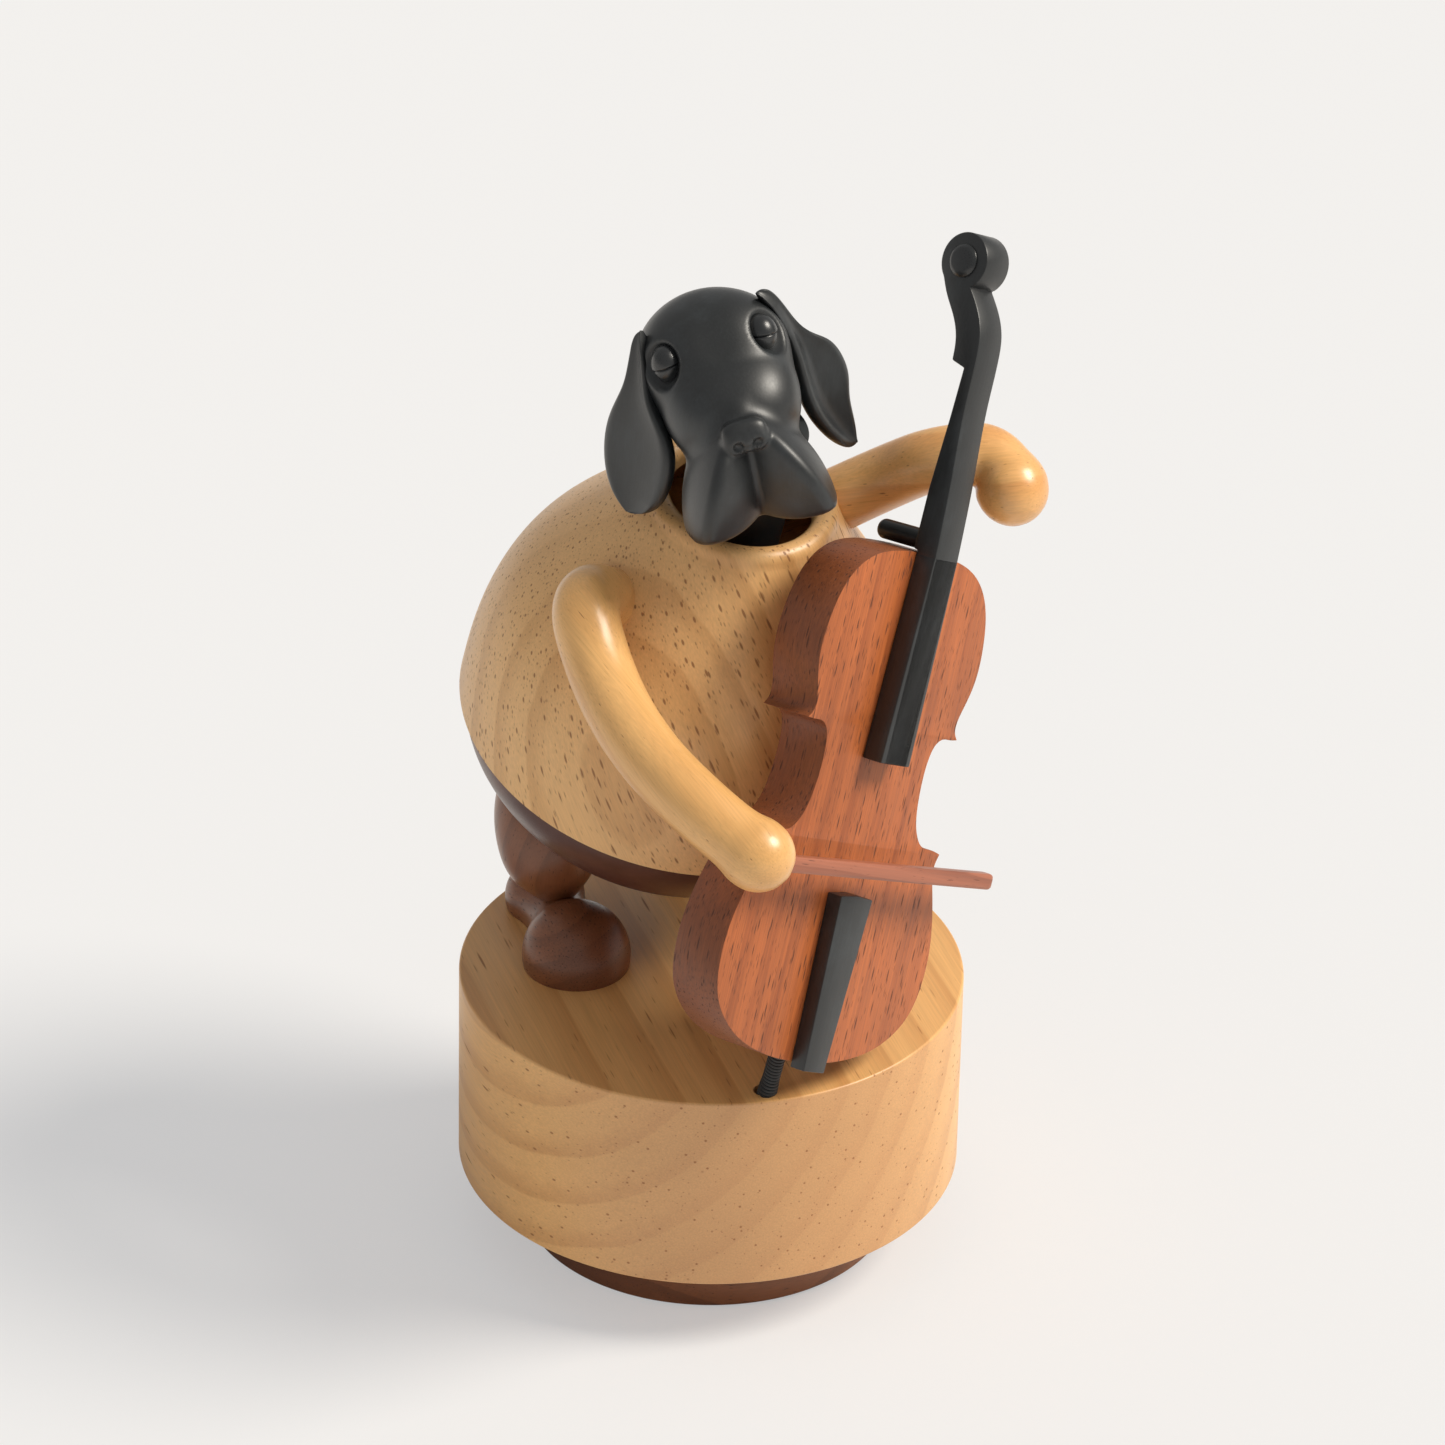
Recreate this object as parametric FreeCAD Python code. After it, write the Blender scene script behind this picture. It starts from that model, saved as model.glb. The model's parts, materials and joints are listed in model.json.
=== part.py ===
import FreeCAD, Part
import math
import os

V = FreeCAD.Vector
os.makedirs("parts", exist_ok=True)

# Base and drum
foot_radius = 33.3
foot_top = 12.7
pad_height = 0.5
pad_radius = 31.0
turn_gap = 0.3
drum_radius = 45.0
drum_roof = 5.4
roof_clear = 1.9
drum_edge = 0.5
cavity_radius = 37.0
ledge_radius = 42.0
plate_height = 4.0
plate_screw_ring = 39.0
screw_radius = 1.25
screw_head_radius = 2.4
screw_head_height = 1.6
fit = 0.05
skim = 0.3

# Winding arbor and great wheel
arbor_radius = 2.0
flange_radius = 9.0
flange_height = 2.2
flange_screw_ring = 6.2
flange_screw_length = 6.0
hub_radius = 3.4
crown_teeth = 32
crown_disc_height = 1.6
crown_rise = 12.0
crown_nut_radius = 3.0
crown_nut_height = 2.0
tooth_deep = 1.05
tooth_thick = 0.75
tooth_face = 2.0

# Movement frame
bed_height = 2.2
bed_min_x = -15.0
bed_past_shaft = 1.6
bed_min_y = -21.0
bed_max_y = 23.0
bed_screw_inset = 5.5
bed_clear = 1.0
cover_radius = 12.0
cover_height = 9.6
cover_wall = 0.8
ribbon_thick = 0.35
ribbon_pitch = 1.42
ribbon_height = 7.0
ribbon_turns = 5

# Tune cylinder and comb
pinion_teeth = 18
pinion_radius = 6.0
pinion_face = 2.2
mesh_half = 0.45
tune_radius = 6.2
tune_gap = 3.93
tune_length = 12.5
tune_wall = 0.7
pin_size = 0.4
pin_stand = 0.6
pin_rows = 18
pins_in_row = 4
shaft_radius = 1.0
shaft_lead = 2.07
shaft_tail = 3.4
post_thick = 1.2
post_width = 6.0
post_rise = 2.6
comb_gap = 0.1
comb_tooth_length = 8.5
comb_back = 5.0
comb_thick = 1.0
comb_slit = 0.32
comb_screw_inset = 2.5

# Governor
drive_teeth = 30
drive_radius = 7.5
drive_face = 1.2
drive_gap = 2.9
gov_teeth = 12
gov_radius = 3.0
gov_y = 9.2
worm_wheel_teeth = 16
worm_wheel_radius = 4.4
worm_wheel_back = 1.9
worm_radius = 1.7
worm_thread = 0.4
worm_turns = 4
fan_span = 4.6
fan_height = 4.2
fan_thick = 0.5
worm_rise = 26.6
worm_start = 6.0

# Body of the figure
body_x = 5.1
seam_y = 17.1
seam_rise = 42.2
lean_angle = 17.6
body_length = 55.3
body_radius = 39.6
body_wall = 4.5
rim_outer = 17.25
rim_inner = 12.9
rim_depth = 4.0
rim_bulge_share = 0.55
cap_inset = 1.1
cap_depth = 27.3
cap_power = 1.8
cap_wall = 3.0
spigot_height = 4.0
bridge_thick = 4.0

# Neck and head
neck_radius = 8.4
neck_sink = 11.3
neck_stand = 14.7
yoke_radius = 7.5
yoke_base = 2.4
yoke_pin_drop = 4.5
yoke_tall = 8.5
yoke_pin_radius = 1.5
yoke_cheek = 2.2
tongue_thick = 6.0
spindle_radius = 3.0
head_side = -8.0
head_back = 8.165
head_rise = 28.976
head_yaw_angle = -26.0
head_roll_angle = 12.2
eye_half = 8.85
eye_front = 1.6
eye_rise = 0.4
eye_radius = 3.3
eye_fit = 0.02
skull_side = 13.2
skull_deep = 11.2
skull_tall = 11.6
skull_back = 5.0
skull_drop = 4.0
snout_side = 9.8
snout_long = 14.5
snout_tall = 9.0
snout_front = 4.5
snout_drop = 8.0
snout_angle = 18.0
throat_radius = 9.0
throat_tall = 8.0
throat_place = (2.0, 2.0, -12.0)
flew_long = 12.5
flew_wide = 6.6
flew_thick = 5.6
flew_side = 6.2
flew_shift = 0.4
flew_front = 14.5
flew_drop = 15.5
flew_angle = 38.0
flew_splay_angle = 28.0
nose_side = 3.2
nose_deep = 1.9
nose_front = 18.0
nose_drop = 7.0
ear_wide = 7.7
ear_thick = 3.4
ear_edge = 1.2
right_ear_top = (-11.3, 4.1, 5.0)
right_ear_tip = (-19.8, -1.1, -26.2)
right_ear_angle = 124.0
left_ear_top = (10.9, 4.0, 6.4)
left_ear_tip = (17.2, 4.0, -28.9)
left_ear_angle = 28.0

# Arms and bow
right_arm_radius = 6.0
left_arm_radius = 5.6
hand_radius = 6.5
shoulder_radius = 6.3
shoulder_pin = 2.5
shoulder_pin_length = 7.0
shoulder_flat = 0.8
arm_straight = 4.0
right_hand_shift = (-0.3, -0.62, 0.14)
left_elbow_shift = (8.94, 9.91, 16.77)
left_hand_shift = (16.57, -1.47, 13.91)
bow_height = 2.9
bow_thick = 2.8
bow_reach_right = 33.5
bow_reach_left = 30.6
bow_front = 6.4
bow_along = 35.6
bow_angle = -1.7

# Cello
cello_side = 22.71
cello_front = 24.54
cello_rise = 10.82
cello_turn_angle = 9.79
cello_tip_angle = -7.70
cello_roll_angle = 27.73
cello_length = 90.2
cello_half = 27.95
cello_thick = 10.4
board_rise = 4.4
board_low = 53.8
board_width_low = 7.9
neck_width = 6.3
neck_length = 50.1
scroll_radius = 5.0
scroll_back = 5.3
scroll_button_radius = 2.9
scroll_button_rise = 1.2
bass_heel_radius = 1.8
heel_end = 11.6
heel_clear = 0.4
tail_rise = 3.2
tail_low = -1.0
tail_high = 30.0
tail_width_low = 5.6
tail_width_high = 8.6
tail_point = 0.4
tail_shift = 0.3
belly_dowel_radius = 2.0
belly_dowel_side = 3.0
belly_dowel_along = 52.0
belly_dowel_reach = 8.0

# Endpin
pin_hole_x = -17.6
pin_hole_y = -37.3
pin_hole_depth = 3.0
coil_radius = 1.25
wire_radius = 0.25
coil_turns = 11
coil_grip = 1.2

# Legs and feet
heel_x = 16.65
heel_y = 34.1
foot_out_angle = 21.0
foot_axis_rise = 2.2
heel_radius = 7.2
toe_radius = 9.7
foot_waist_curve = 12.0
toe_along = 20.4
left_foot_in = 2.5
left_foot_front = 3.5
ankle_rise = 7.2
ankle_along = 8.9
ankle_radius = 3.2
calf_radius = 9.2
calf_rise = 12.2
calf_lean_angle = 16.8
leg_dowel_radius = 2.2
leg_dowel_deep = 4.0
leg_peg_back = 5.0
leg_peg_rise = 15.1
leg_peg_length = 14.0

lower_bout_shares = ((0.0, 0.0), (0.212, 0.002), (0.421, 0.012), (0.624, 0.031), (0.806, 0.064),
                     (0.943, 0.113), (0.998, 0.176), (0.993, 0.242), (0.945, 0.303), (0.866, 0.366),
                     (0.83, 0.408), (0.852, 0.433))
waist_shares = ((0.852, 0.433), (0.754, 0.439), (0.66, 0.443), (0.594, 0.46), (0.543, 0.49),
                (0.511, 0.54), (0.504, 0.58), (0.515, 0.617), (0.55, 0.643), (0.604, 0.654),
                (0.67, 0.655), (0.742, 0.657))
upper_bout_shares = ((0.742, 0.657), (0.705, 0.671), (0.7, 0.69), (0.725, 0.717), (0.765, 0.755),
                     (0.782, 0.795), (0.77, 0.844), (0.711, 0.909), (0.62, 0.951), (0.485, 0.98),
                     (0.328, 0.994), (0.164, 0.999), (0.0, 1.0))
body_shares = ((0.0, 1.0), (0.163, 0.995), (0.325, 0.962), (0.488, 0.884), (0.651, 0.742), (0.814, 0.573),
               (0.9, 0.492))
calf_shares = ((0.37, 0.0), (0.84, 0.42), (1.0, 1.0), (0.93, 1.5), (0.7, 2.0))
right_ear_shares = ((-0.12, 1.0), (0.06, 0.92), (0.18, 0.7), (0.3, 0.42), (0.64, 0.1), (0.87, -0.24),
                    (0.85, -0.52), (0.6, -0.8), (0.17, -0.98), (-0.3, -0.92), (-0.78, -0.66), (-0.98, -0.34),
                    (-0.72, 0.06), (-0.42, 0.38), (-0.3, 0.72))
left_ear_shares = ((-0.26, 1.0), (0.08, 0.92), (0.24, 0.72), (0.34, 0.42), (0.62, 0.16), (0.98, -0.12),
                   (1.0, -0.36), (0.74, -0.6), (0.6, -0.84), (0.52, -1.0), (0.3, -0.98), (0.02, -0.7),
                   (-0.14, -0.34), (-0.1, 0.0), (0.02, 0.34), (-0.04, 0.7))
right_shoulder_shares = (-0.6717, -0.013, 0.7182)
right_elbow_shares = (-0.9747, -0.5085, 0.6941)
left_shoulder_shares = (0.4545, -0.2107, 0.894)
right_arm_way_shares = ((-0.80, -0.30, 0.52), (-0.227, -0.903, -0.363), (0.42, -0.78, -0.46))
left_arm_way_shares = ((0.62, -0.48, 0.62), (0.87, -0.45, 0.206), (-0.25, -0.77, -0.59))
neck_front_shares = ((0.0, 1.0), (0.275, 0.818), (0.535, 0.591), (0.705, 0.545), (0.774, 0.432),
                     (0.834, 0.136), (0.918, -0.591), (0.994, -1.182))
neck_back_shares = ((0.934, -2.045), (0.88, -1.705), (0.798, -1.023), (0.735, -0.705), (0.663, -0.614))
neck_under_shares = ((0.647, 0.045), (0.469, -0.023), (0.224, -0.182), (0.008, -0.182))

# Sizes that follow from those
bed_z = turn_gap + foot_top + plate_height
crown_disc_z = bed_z + crown_rise
crown_pitch = pinion_radius * crown_teeth / pinion_teeth
pinion_z = crown_disc_z + crown_disc_height + tooth_deep - mesh_half + pinion_radius
shaft_start = crown_pitch - shaft_lead
tune_start = crown_pitch + tune_gap
drive_start = tune_start + tune_length + drive_gap
shaft_end = drive_start + shaft_tail
bed_max_x = shaft_end + bed_past_shaft
worm_wheel_x = drive_start - worm_wheel_back
gov_z = pinion_z - math.sqrt((drive_radius + gov_radius) ** 2 - gov_y ** 2)
worm_y = gov_y + worm_wheel_radius + mesh_half + worm_radius - worm_thread + fit * 2
worm_bottom = bed_z + worm_start
worm_top = bed_z + worm_rise
drum_top = worm_top + roof_clear + drum_roof
seam_z = drum_top + seam_rise
cap_radius = body_radius - cap_inset
neck_low = body_length - neck_sink
neck_high = body_length + neck_stand
yoke_pin_s = neck_low - yoke_pin_drop
bridge_high = yoke_pin_s - yoke_tall
bridge_low = bridge_high - bridge_thick
ankle_z = drum_top + ankle_rise
heel_along = cello_length + bass_heel_radius + heel_clear
scroll_along = cello_length + neck_length


def save(shape, name):
    shape.exportStep("parts/" + name + ".step")
    print(name, len(shape.Solids), round(shape.Volume, 1), shape.isValid())


def rod(radius, length, base, axis=V(0, 0, 1)):
    return Part.makeCylinder(radius, length, base, axis)


def ring(outer, inner, length, base, axis=V(0, 0, 1)):
    return rod(outer, length, base, axis).cut(rod(inner, length, base, axis))


def block(low, high):
    size = high - low
    return Part.makeBox(size.x, size.y, size.z, low)


def round_places(count, radius, start=0.0):
    angles = [start + 2 * math.pi * n / count for n in range(count)]
    return [V(radius * math.cos(a), radius * math.sin(a), 0) for a in angles]


def fuse_all(shapes):
    result = shapes[0]
    if len(shapes) > 1:
        result = result.multiFuse(shapes[1:])
    return result.removeSplitter()


def screw(place, length, down=True):
    way = V(0, 0, -1) if down else V(0, 0, 1)
    head = rod(screw_head_radius, screw_head_height, place, way)
    slot = block(V(-screw_head_radius, -pin_size / 2, 0), V(screw_head_radius, pin_size / 2, pin_size))
    slot.translate(place + (V(0, 0, -pin_size) if down else V(0, 0, 0)))
    shank = rod(screw_radius, length, place, way)
    return head.fuse(shank).cut(slot)


# Drum and base
def foot_screw_places():
    return round_places(3, flange_screw_ring, math.pi / 2)


def plate_screw_places():
    return round_places(3, plate_screw_ring, math.pi / 6)


def movement_screw_places():
    x = bed_min_x + bed_screw_inset
    return [V(x, bed_min_y + bed_screw_inset, 0), V(x, bed_max_y - bed_screw_inset, 0),
            V(bed_max_x - bed_screw_inset, gov_y, 0)]


def foot_disc():
    disc = rod(foot_radius, foot_top - pad_height, V(0, 0, pad_height))
    flat = [e for e in disc.Edges if e.BoundBox.ZLength < skim and e.BoundBox.ZMin > foot_top - skim]
    disc = disc.makeFillet(drum_edge, flat)
    disc = disc.cut(rod(flange_radius + fit, flange_height + turn_gap, V(0, 0, foot_top - flange_height)))
    disc = disc.cut(rod(arbor_radius + fit, foot_top, V(0, 0, foot_top / 2)))
    for p in foot_screw_places():
        disc = disc.cut(rod(screw_radius, flange_screw_length, p + V(0, 0, foot_top - flange_screw_length)))
    return disc


def foot_pad():
    return rod(pad_radius, pad_height, V(0, 0, 0))


def winding_arbor():
    shaft_top = crown_disc_z + crown_disc_height + crown_nut_height + pin_size
    shaft = rod(arbor_radius, shaft_top - foot_top / 2, V(0, 0, foot_top / 2))
    flange = rod(flange_radius, flange_height, V(0, 0, foot_top - flange_height))
    hub = rod(hub_radius, crown_disc_z - bed_z - bed_height - skim, V(0, 0, bed_z + bed_height + skim))
    arbor = fuse_all([shaft, flange, hub])
    for p in foot_screw_places():
        arbor = arbor.cut(rod(screw_radius, flange_height, p + V(0, 0, foot_top - flange_height)))
        sink = p + V(0, 0, foot_top - screw_head_height)
        arbor = arbor.cut(rod(screw_head_radius + fit, screw_head_height, sink))
    return arbor


def flange_screws():
    return Part.makeCompound([screw(p + V(0, 0, foot_top), flange_screw_length) for p in foot_screw_places()])


def crown_tooth_section(x):
    half = tooth_thick * x / crown_pitch / 2
    tip = half * 0.6
    return Part.makePolygon([V(x, -half, 0), V(x, half, 0), V(x, tip, tooth_deep), V(x, -tip, tooth_deep),
                             V(x, -half, 0)])


def crown_wheel():
    low, high = crown_pitch - tooth_face / 2, crown_pitch + tooth_face / 2
    teeth = []
    for n in range(crown_teeth):
        tooth = Part.makeLoft([crown_tooth_section(low), crown_tooth_section(high)], True, True)
        tooth.translate(V(0, 0, crown_disc_z + crown_disc_height))
        tooth.rotate(V(0, 0, 0), V(0, 0, 1), 360.0 * (n + 0.5) / crown_teeth)
        teeth.append(tooth)
    disc = ring(high, arbor_radius, crown_disc_height, V(0, 0, crown_disc_z))
    return fuse_all([disc] + teeth)


def crown_nut():
    places = round_places(6, crown_nut_radius)
    hexagon = Part.Face(Part.makePolygon(places + [places[0]]))
    nut = hexagon.extrude(V(0, 0, crown_nut_height))
    nut.translate(V(0, 0, crown_disc_z + crown_disc_height))
    return nut.cut(rod(arbor_radius, crown_nut_height, V(0, 0, crown_disc_z + crown_disc_height)))


def drum_body():
    bottom = foot_top + turn_gap
    drum = rod(drum_radius, drum_top - bottom, V(0, 0, bottom))
    rims = [e for e in drum.Edges if e.BoundBox.ZLength < skim]
    drum = drum.makeFillet(drum_edge, rims)
    drum = drum.cut(rod(cavity_radius, drum_top - drum_roof - bottom, V(0, 0, bottom)))
    drum = drum.cut(rod(ledge_radius, plate_height, V(0, 0, bottom)))
    drum = drum.cut(spring_bore())
    for p in plate_screw_places():
        drum = drum.cut(rod(screw_radius, plate_height * 2, p + V(0, 0, bottom + plate_height)))
    for side in (-1, 1):
        drum = drum.cut(leg_dowel(side, fit))
    return drum


def bottom_plate():
    bottom = foot_top + turn_gap
    plate = rod(ledge_radius - fit, plate_height, V(0, 0, bottom))
    plate = plate.cut(rod(arbor_radius + fit, plate_height, V(0, 0, bottom)))
    for p in plate_screw_places() + movement_screw_places():
        plate = plate.cut(rod(screw_radius, plate_height, p + V(0, 0, bottom)))
        plate = plate.cut(rod(screw_head_radius + fit, screw_head_height, p + V(0, 0, bottom)))
    return plate


def plate_screws():
    bottom = foot_top + turn_gap
    length = plate_height * 2
    return Part.makeCompound([screw(p + V(0, 0, bottom), length, False) for p in plate_screw_places()])


def movement_screws():
    bottom = foot_top + turn_gap
    length = plate_height + bed_height
    return Part.makeCompound([screw(p + V(0, 0, bottom), length, False) for p in movement_screw_places()])


# Movement
def bedplate():
    plate = block(V(bed_min_x, bed_min_y, bed_z), V(bed_max_x, bed_max_y, bed_z + bed_height))
    plate = plate.common(rod(cavity_radius - bed_clear, bed_height, V(0, 0, bed_z)))
    plate = plate.cut(rod(arbor_radius + fit, bed_height, V(0, 0, bed_z)))
    for p in movement_screw_places():
        plate = plate.cut(rod(screw_radius, bed_height, p + V(0, 0, bed_z)))
    return plate


def spring_cover():
    low = bed_z + bed_height
    cover = rod(cover_radius, cover_height, V(0, 0, low))
    inside = rod(cover_radius - cover_wall, cover_height - cover_wall, V(0, 0, low))
    return cover.cut(inside).cut(rod(hub_radius + skim, cover_height, V(0, 0, low)))


def mainspring():
    low = bed_z + bed_height + cover_wall
    start = hub_radius + skim

    def point(turn, shift):
        r = start + shift + ribbon_pitch * turn
        return V(r * math.cos(2 * math.pi * turn), r * math.sin(2 * math.pi * turn), low)

    def tangent(turn, shift):
        r = start + shift + ribbon_pitch * turn
        a = 2 * math.pi * turn
        outwards = V(math.cos(a), math.sin(a), 0) * (ribbon_pitch / (2 * math.pi))
        return (V(-math.sin(a), math.cos(a), 0) * r + outwards).normalize()

    edges = []
    for shift in (0, ribbon_thick):
        for n in range(ribbon_turns * 2):
            a, b = n / 2, (n + 1) / 2
            edges += biarc(point(a, shift), tangent(a, shift), point(b, shift), tangent(b, shift))
    for turn in (0, ribbon_turns):
        edges.append(Part.makeLine(point(turn, 0), point(turn, ribbon_thick)))
    face = Part.Face(Part.Wire(Part.__sortEdges__(edges)))
    return face.extrude(V(0, 0, ribbon_height))


def gear(teeth, radius, face, base, phase):
    step = 2 * math.pi / teeth
    root, tip = radius - mesh_half - fit * 3, radius + mesh_half
    half_root, half_tip = tooth_thick * 0.62, tooth_thick * 0.3
    pts = []
    for n in range(teeth):
        mid = phase + n * step
        for r, h in ((root, -half_root), (tip, -half_tip), (tip, half_tip), (root, half_root)):
            pts.append(V(0, r * math.sin(mid + h / r), r * math.cos(mid + h / r)))
    wheel = Part.Face(Part.makePolygon(pts + [pts[0]])).extrude(V(face, 0, 0))
    wheel.translate(base)
    return wheel


def tune_shaft():
    return rod(shaft_radius, shaft_end - shaft_start, V(shaft_start, 0, pinion_z), V(1, 0, 0))


def tune_pinion():
    base = V(crown_pitch - pinion_face / 2, 0, pinion_z)
    wheel = gear(pinion_teeth, pinion_radius, pinion_face, base, math.pi)
    return wheel.cut(rod(shaft_radius, pinion_face, base, V(1, 0, 0)))


def tune_cylinder():
    axis = V(1, 0, 0)
    base = V(tune_start, 0, pinion_z)
    barrel = ring(tune_radius, tune_radius - tune_wall, tune_length, base, axis)
    ends = []
    for x in (tune_start, tune_start + tune_length - tune_wall * 2):
        ends.append(ring(tune_radius - tune_wall / 2, shaft_radius, tune_wall * 2, V(x, 0, pinion_z), axis))
    pins = []
    reach = tune_radius + pin_stand
    for row in range(pin_rows):
        x = tune_start + tune_length * (row + 0.5) / pin_rows
        for n in range(pins_in_row):
            angle = 360.0 * ((row * 5 + n * 7) % 23 + 0.5 * n) / 26 + 20
            pin = block(V(x - pin_size / 2, -pin_size / 2, tune_radius - tune_wall / 2),
                        V(x + pin_size / 2, pin_size / 2, reach))
            pin.rotate(V(0, 0, 0), axis, angle)
            pin.translate(V(0, 0, pinion_z))
            pins.append(pin)
    return fuse_all([barrel] + ends + pins)


def drive_wheel():
    base = V(drive_start, 0, pinion_z)
    wheel = gear(drive_teeth, drive_radius, drive_face, base, mesh_angle())
    return wheel.cut(rod(shaft_radius, drive_face, base, V(1, 0, 0)))


def mesh_angle():
    return math.atan2(gov_y, gov_z - pinion_z)


def bearing_posts():
    parts = []
    low = bed_z + bed_height
    for x in (tune_start - post_thick * 1.5 - skim, shaft_end - post_thick * 1.5):
        post = block(V(x, -post_width / 2, low), V(x + post_thick, post_width / 2, pinion_z + post_rise))
        foot = block(V(x, -post_width, low), V(x + post_thick, post_width, low + post_thick))
        post = post.fuse(foot).removeSplitter()
        parts.append(post.cut(rod(shaft_radius + fit, post_thick, V(x, 0, pinion_z), V(1, 0, 0))))
    return Part.makeCompound(parts)


def comb_edge():
    return -(tune_radius + pin_stand + comb_gap)


def comb_base():
    high = pinion_z - comb_thick / 2
    back = comb_edge() - comb_tooth_length - comb_back
    front = comb_edge() - comb_tooth_length
    base = block(V(tune_start, back, bed_z + bed_height), V(tune_start + tune_length, front, high))
    for p in comb_screw_places():
        base = base.cut(rod(screw_radius, comb_back * 2, p + V(0, 0, high - comb_back * 2)))
    return base


def comb_screw_places():
    y = comb_edge() - comb_tooth_length - comb_back / 2
    return [V(tune_start + comb_screw_inset, y, 0), V(tune_start + tune_length - comb_screw_inset, y, 0)]


def comb():
    low = pinion_z - comb_thick / 2
    edge = comb_edge()
    back = edge - comb_tooth_length - comb_back
    plate = block(V(tune_start, back, low), V(tune_start + tune_length, edge, low + comb_thick))
    slits = []
    for n in range(1, pin_rows):
        x = tune_start + tune_length * n / pin_rows
        deep = comb_tooth_length * (1 - 0.03 * n)
        slits.append(block(V(x - comb_slit / 2, edge - deep, low),
                           V(x + comb_slit / 2, edge, low + comb_thick)))
    for p in comb_screw_places():
        slits.append(rod(screw_radius, comb_thick, p + V(0, 0, low)))
    return plate.cut(Part.makeCompound(slits))


def comb_screws():
    high = pinion_z + comb_thick / 2 + screw_head_height
    length = comb_back * 2
    parts = []
    for p in comb_screw_places():
        parts.append(screw(p + V(0, 0, high), length))
    return Part.makeCompound(parts)


# Governor
def gov_shaft():
    length = shaft_end - worm_wheel_x + post_thick * 2
    return rod(shaft_radius, length, V(worm_wheel_x - post_thick * 2, gov_y, gov_z), V(1, 0, 0))


def gov_pinion():
    base = V(drive_start, gov_y, gov_z)
    wheel = gear(gov_teeth, gov_radius, drive_face, base, mesh_angle() + math.pi + math.pi / gov_teeth)
    return wheel.cut(rod(shaft_radius, drive_face, base, V(1, 0, 0)))


def worm_wheel():
    base = V(worm_wheel_x - drive_face / 2, gov_y, gov_z)
    phase = math.pi / 2 + math.pi / worm_wheel_teeth
    wheel = gear(worm_wheel_teeth, worm_wheel_radius, drive_face, base, phase)
    return wheel.cut(rod(shaft_radius, drive_face, base, V(1, 0, 0)))


def worm_shaft():
    return rod(shaft_radius, worm_top - worm_bottom, V(worm_wheel_x, worm_y, worm_bottom))


def worm_screw():
    pitch = 2 * math.pi * worm_wheel_radius / worm_wheel_teeth
    height = pitch * worm_turns
    low = gov_z - height / 2
    base = V(worm_wheel_x, worm_y, low - pitch / 2)
    core = ring(worm_radius - worm_thread, shaft_radius, height + pitch, base)
    helix = Part.makeHelix(pitch, height, worm_radius - worm_thread)
    deep = worm_thread + fit
    wide = pitch * 0.16
    tip = wide * 0.6
    tooth = Part.makePolygon([V(-fit, 0, -wide), V(deep, 0, -tip), V(deep, 0, tip), V(-fit, 0, wide),
                              V(-fit, 0, -wide)])
    tooth.translate(V(worm_radius - worm_thread, 0, 0))
    thread = Part.Wire(helix).makePipeShell([Part.Wire(tooth)], True, True)
    thread.rotate(V(0, 0, 0), V(0, 0, 1), -90)
    thread.translate(V(worm_wheel_x, worm_y, low))
    return core.fuse(thread)


def fan():
    base = V(worm_wheel_x, worm_y, worm_top - fan_height)
    hub = ring(shaft_radius * 2, shaft_radius, fan_height, base)
    blade = block(V(-fan_span, -fan_thick / 2, 0), V(fan_span, fan_thick / 2, fan_height))
    blade.translate(base)
    return hub.fuse(blade.cut(rod(shaft_radius, fan_height, base))).removeSplitter()


def governor_frame():
    low = bed_z + bed_height
    parts = []
    for x in (worm_wheel_x - post_thick * 2, shaft_end - post_thick * 1.5):
        post = block(V(x, gov_y - post_width / 4, low),
                     V(x + post_thick, gov_y + post_width / 4, gov_z + post_rise))
        parts.append(post.cut(rod(shaft_radius + fit, post_thick, V(x, gov_y, gov_z), V(1, 0, 0))))
    pillar_y = worm_y + worm_radius * 2
    x = worm_wheel_x
    pillar = block(V(x - post_thick, pillar_y, low),
                   V(x + post_thick, pillar_y + post_thick, gov_z + post_width))
    for z in (worm_bottom - skim, gov_z + post_width - post_thick):
        arm = block(V(x - post_thick * 1.6, worm_y - post_thick * 1.6, z),
                    V(x + post_thick * 1.6, pillar_y + post_thick, z + post_thick))
        pillar = pillar.fuse(arm)
    pillar = pillar.cut(rod(shaft_radius + fit, worm_top - bed_z, V(x, worm_y, worm_bottom)))
    parts.append(pillar.removeSplitter())
    return Part.makeCompound(parts)


# Body shell
def lean_frame():
    turn = FreeCAD.Rotation(V(1, 0, 0), lean_angle)
    return FreeCAD.Placement(V(body_x, seam_y, seam_z), turn)


def on_axis(s, x=0.0, y=0.0):
    return lean_frame().multVec(V(x, y, s))


def axis_way():
    return lean_frame().Rotation.multVec(V(0, 0, 1))


def revolve(edges):
    face = Part.Face(Part.Wire(edges))
    solid = face.revolve(V(0, 0, 0), V(0, 0, 1), 360)
    solid.Placement = lean_frame()
    return solid


def spline(points):
    curve = Part.BSplineCurve()
    curve.interpolate(points)
    return curve.toShape()


def body_outer_points():
    pts = [V(body_radius * w, 0, body_length * s) for s, w in body_shares]
    pts.append(V(rim_outer, 0, body_length - rim_depth * rim_bulge_share))
    return pts


def inner_points():
    pts = [V(body_radius * w - body_wall, 0, body_length * s) for s, w in body_shares[:-1]]
    pts.append(V(rim_inner, 0, body_length - rim_depth))
    return pts


def body_solid():
    outer = body_outer_points()
    lip = (rim_outer - rim_inner) / 2
    top = V(rim_outer - lip, 0, body_length)
    end = V(rim_inner, 0, body_length - rim_depth * rim_bulge_share)
    arc = Part.Arc(outer[-1], top, end).toShape()
    inner = inner_points()
    return revolve([spline(outer), arc, Part.makeLine(end, inner[-1]), spline(inner[::-1]),
                    Part.makeLine(inner[0], outer[0])])


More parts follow.
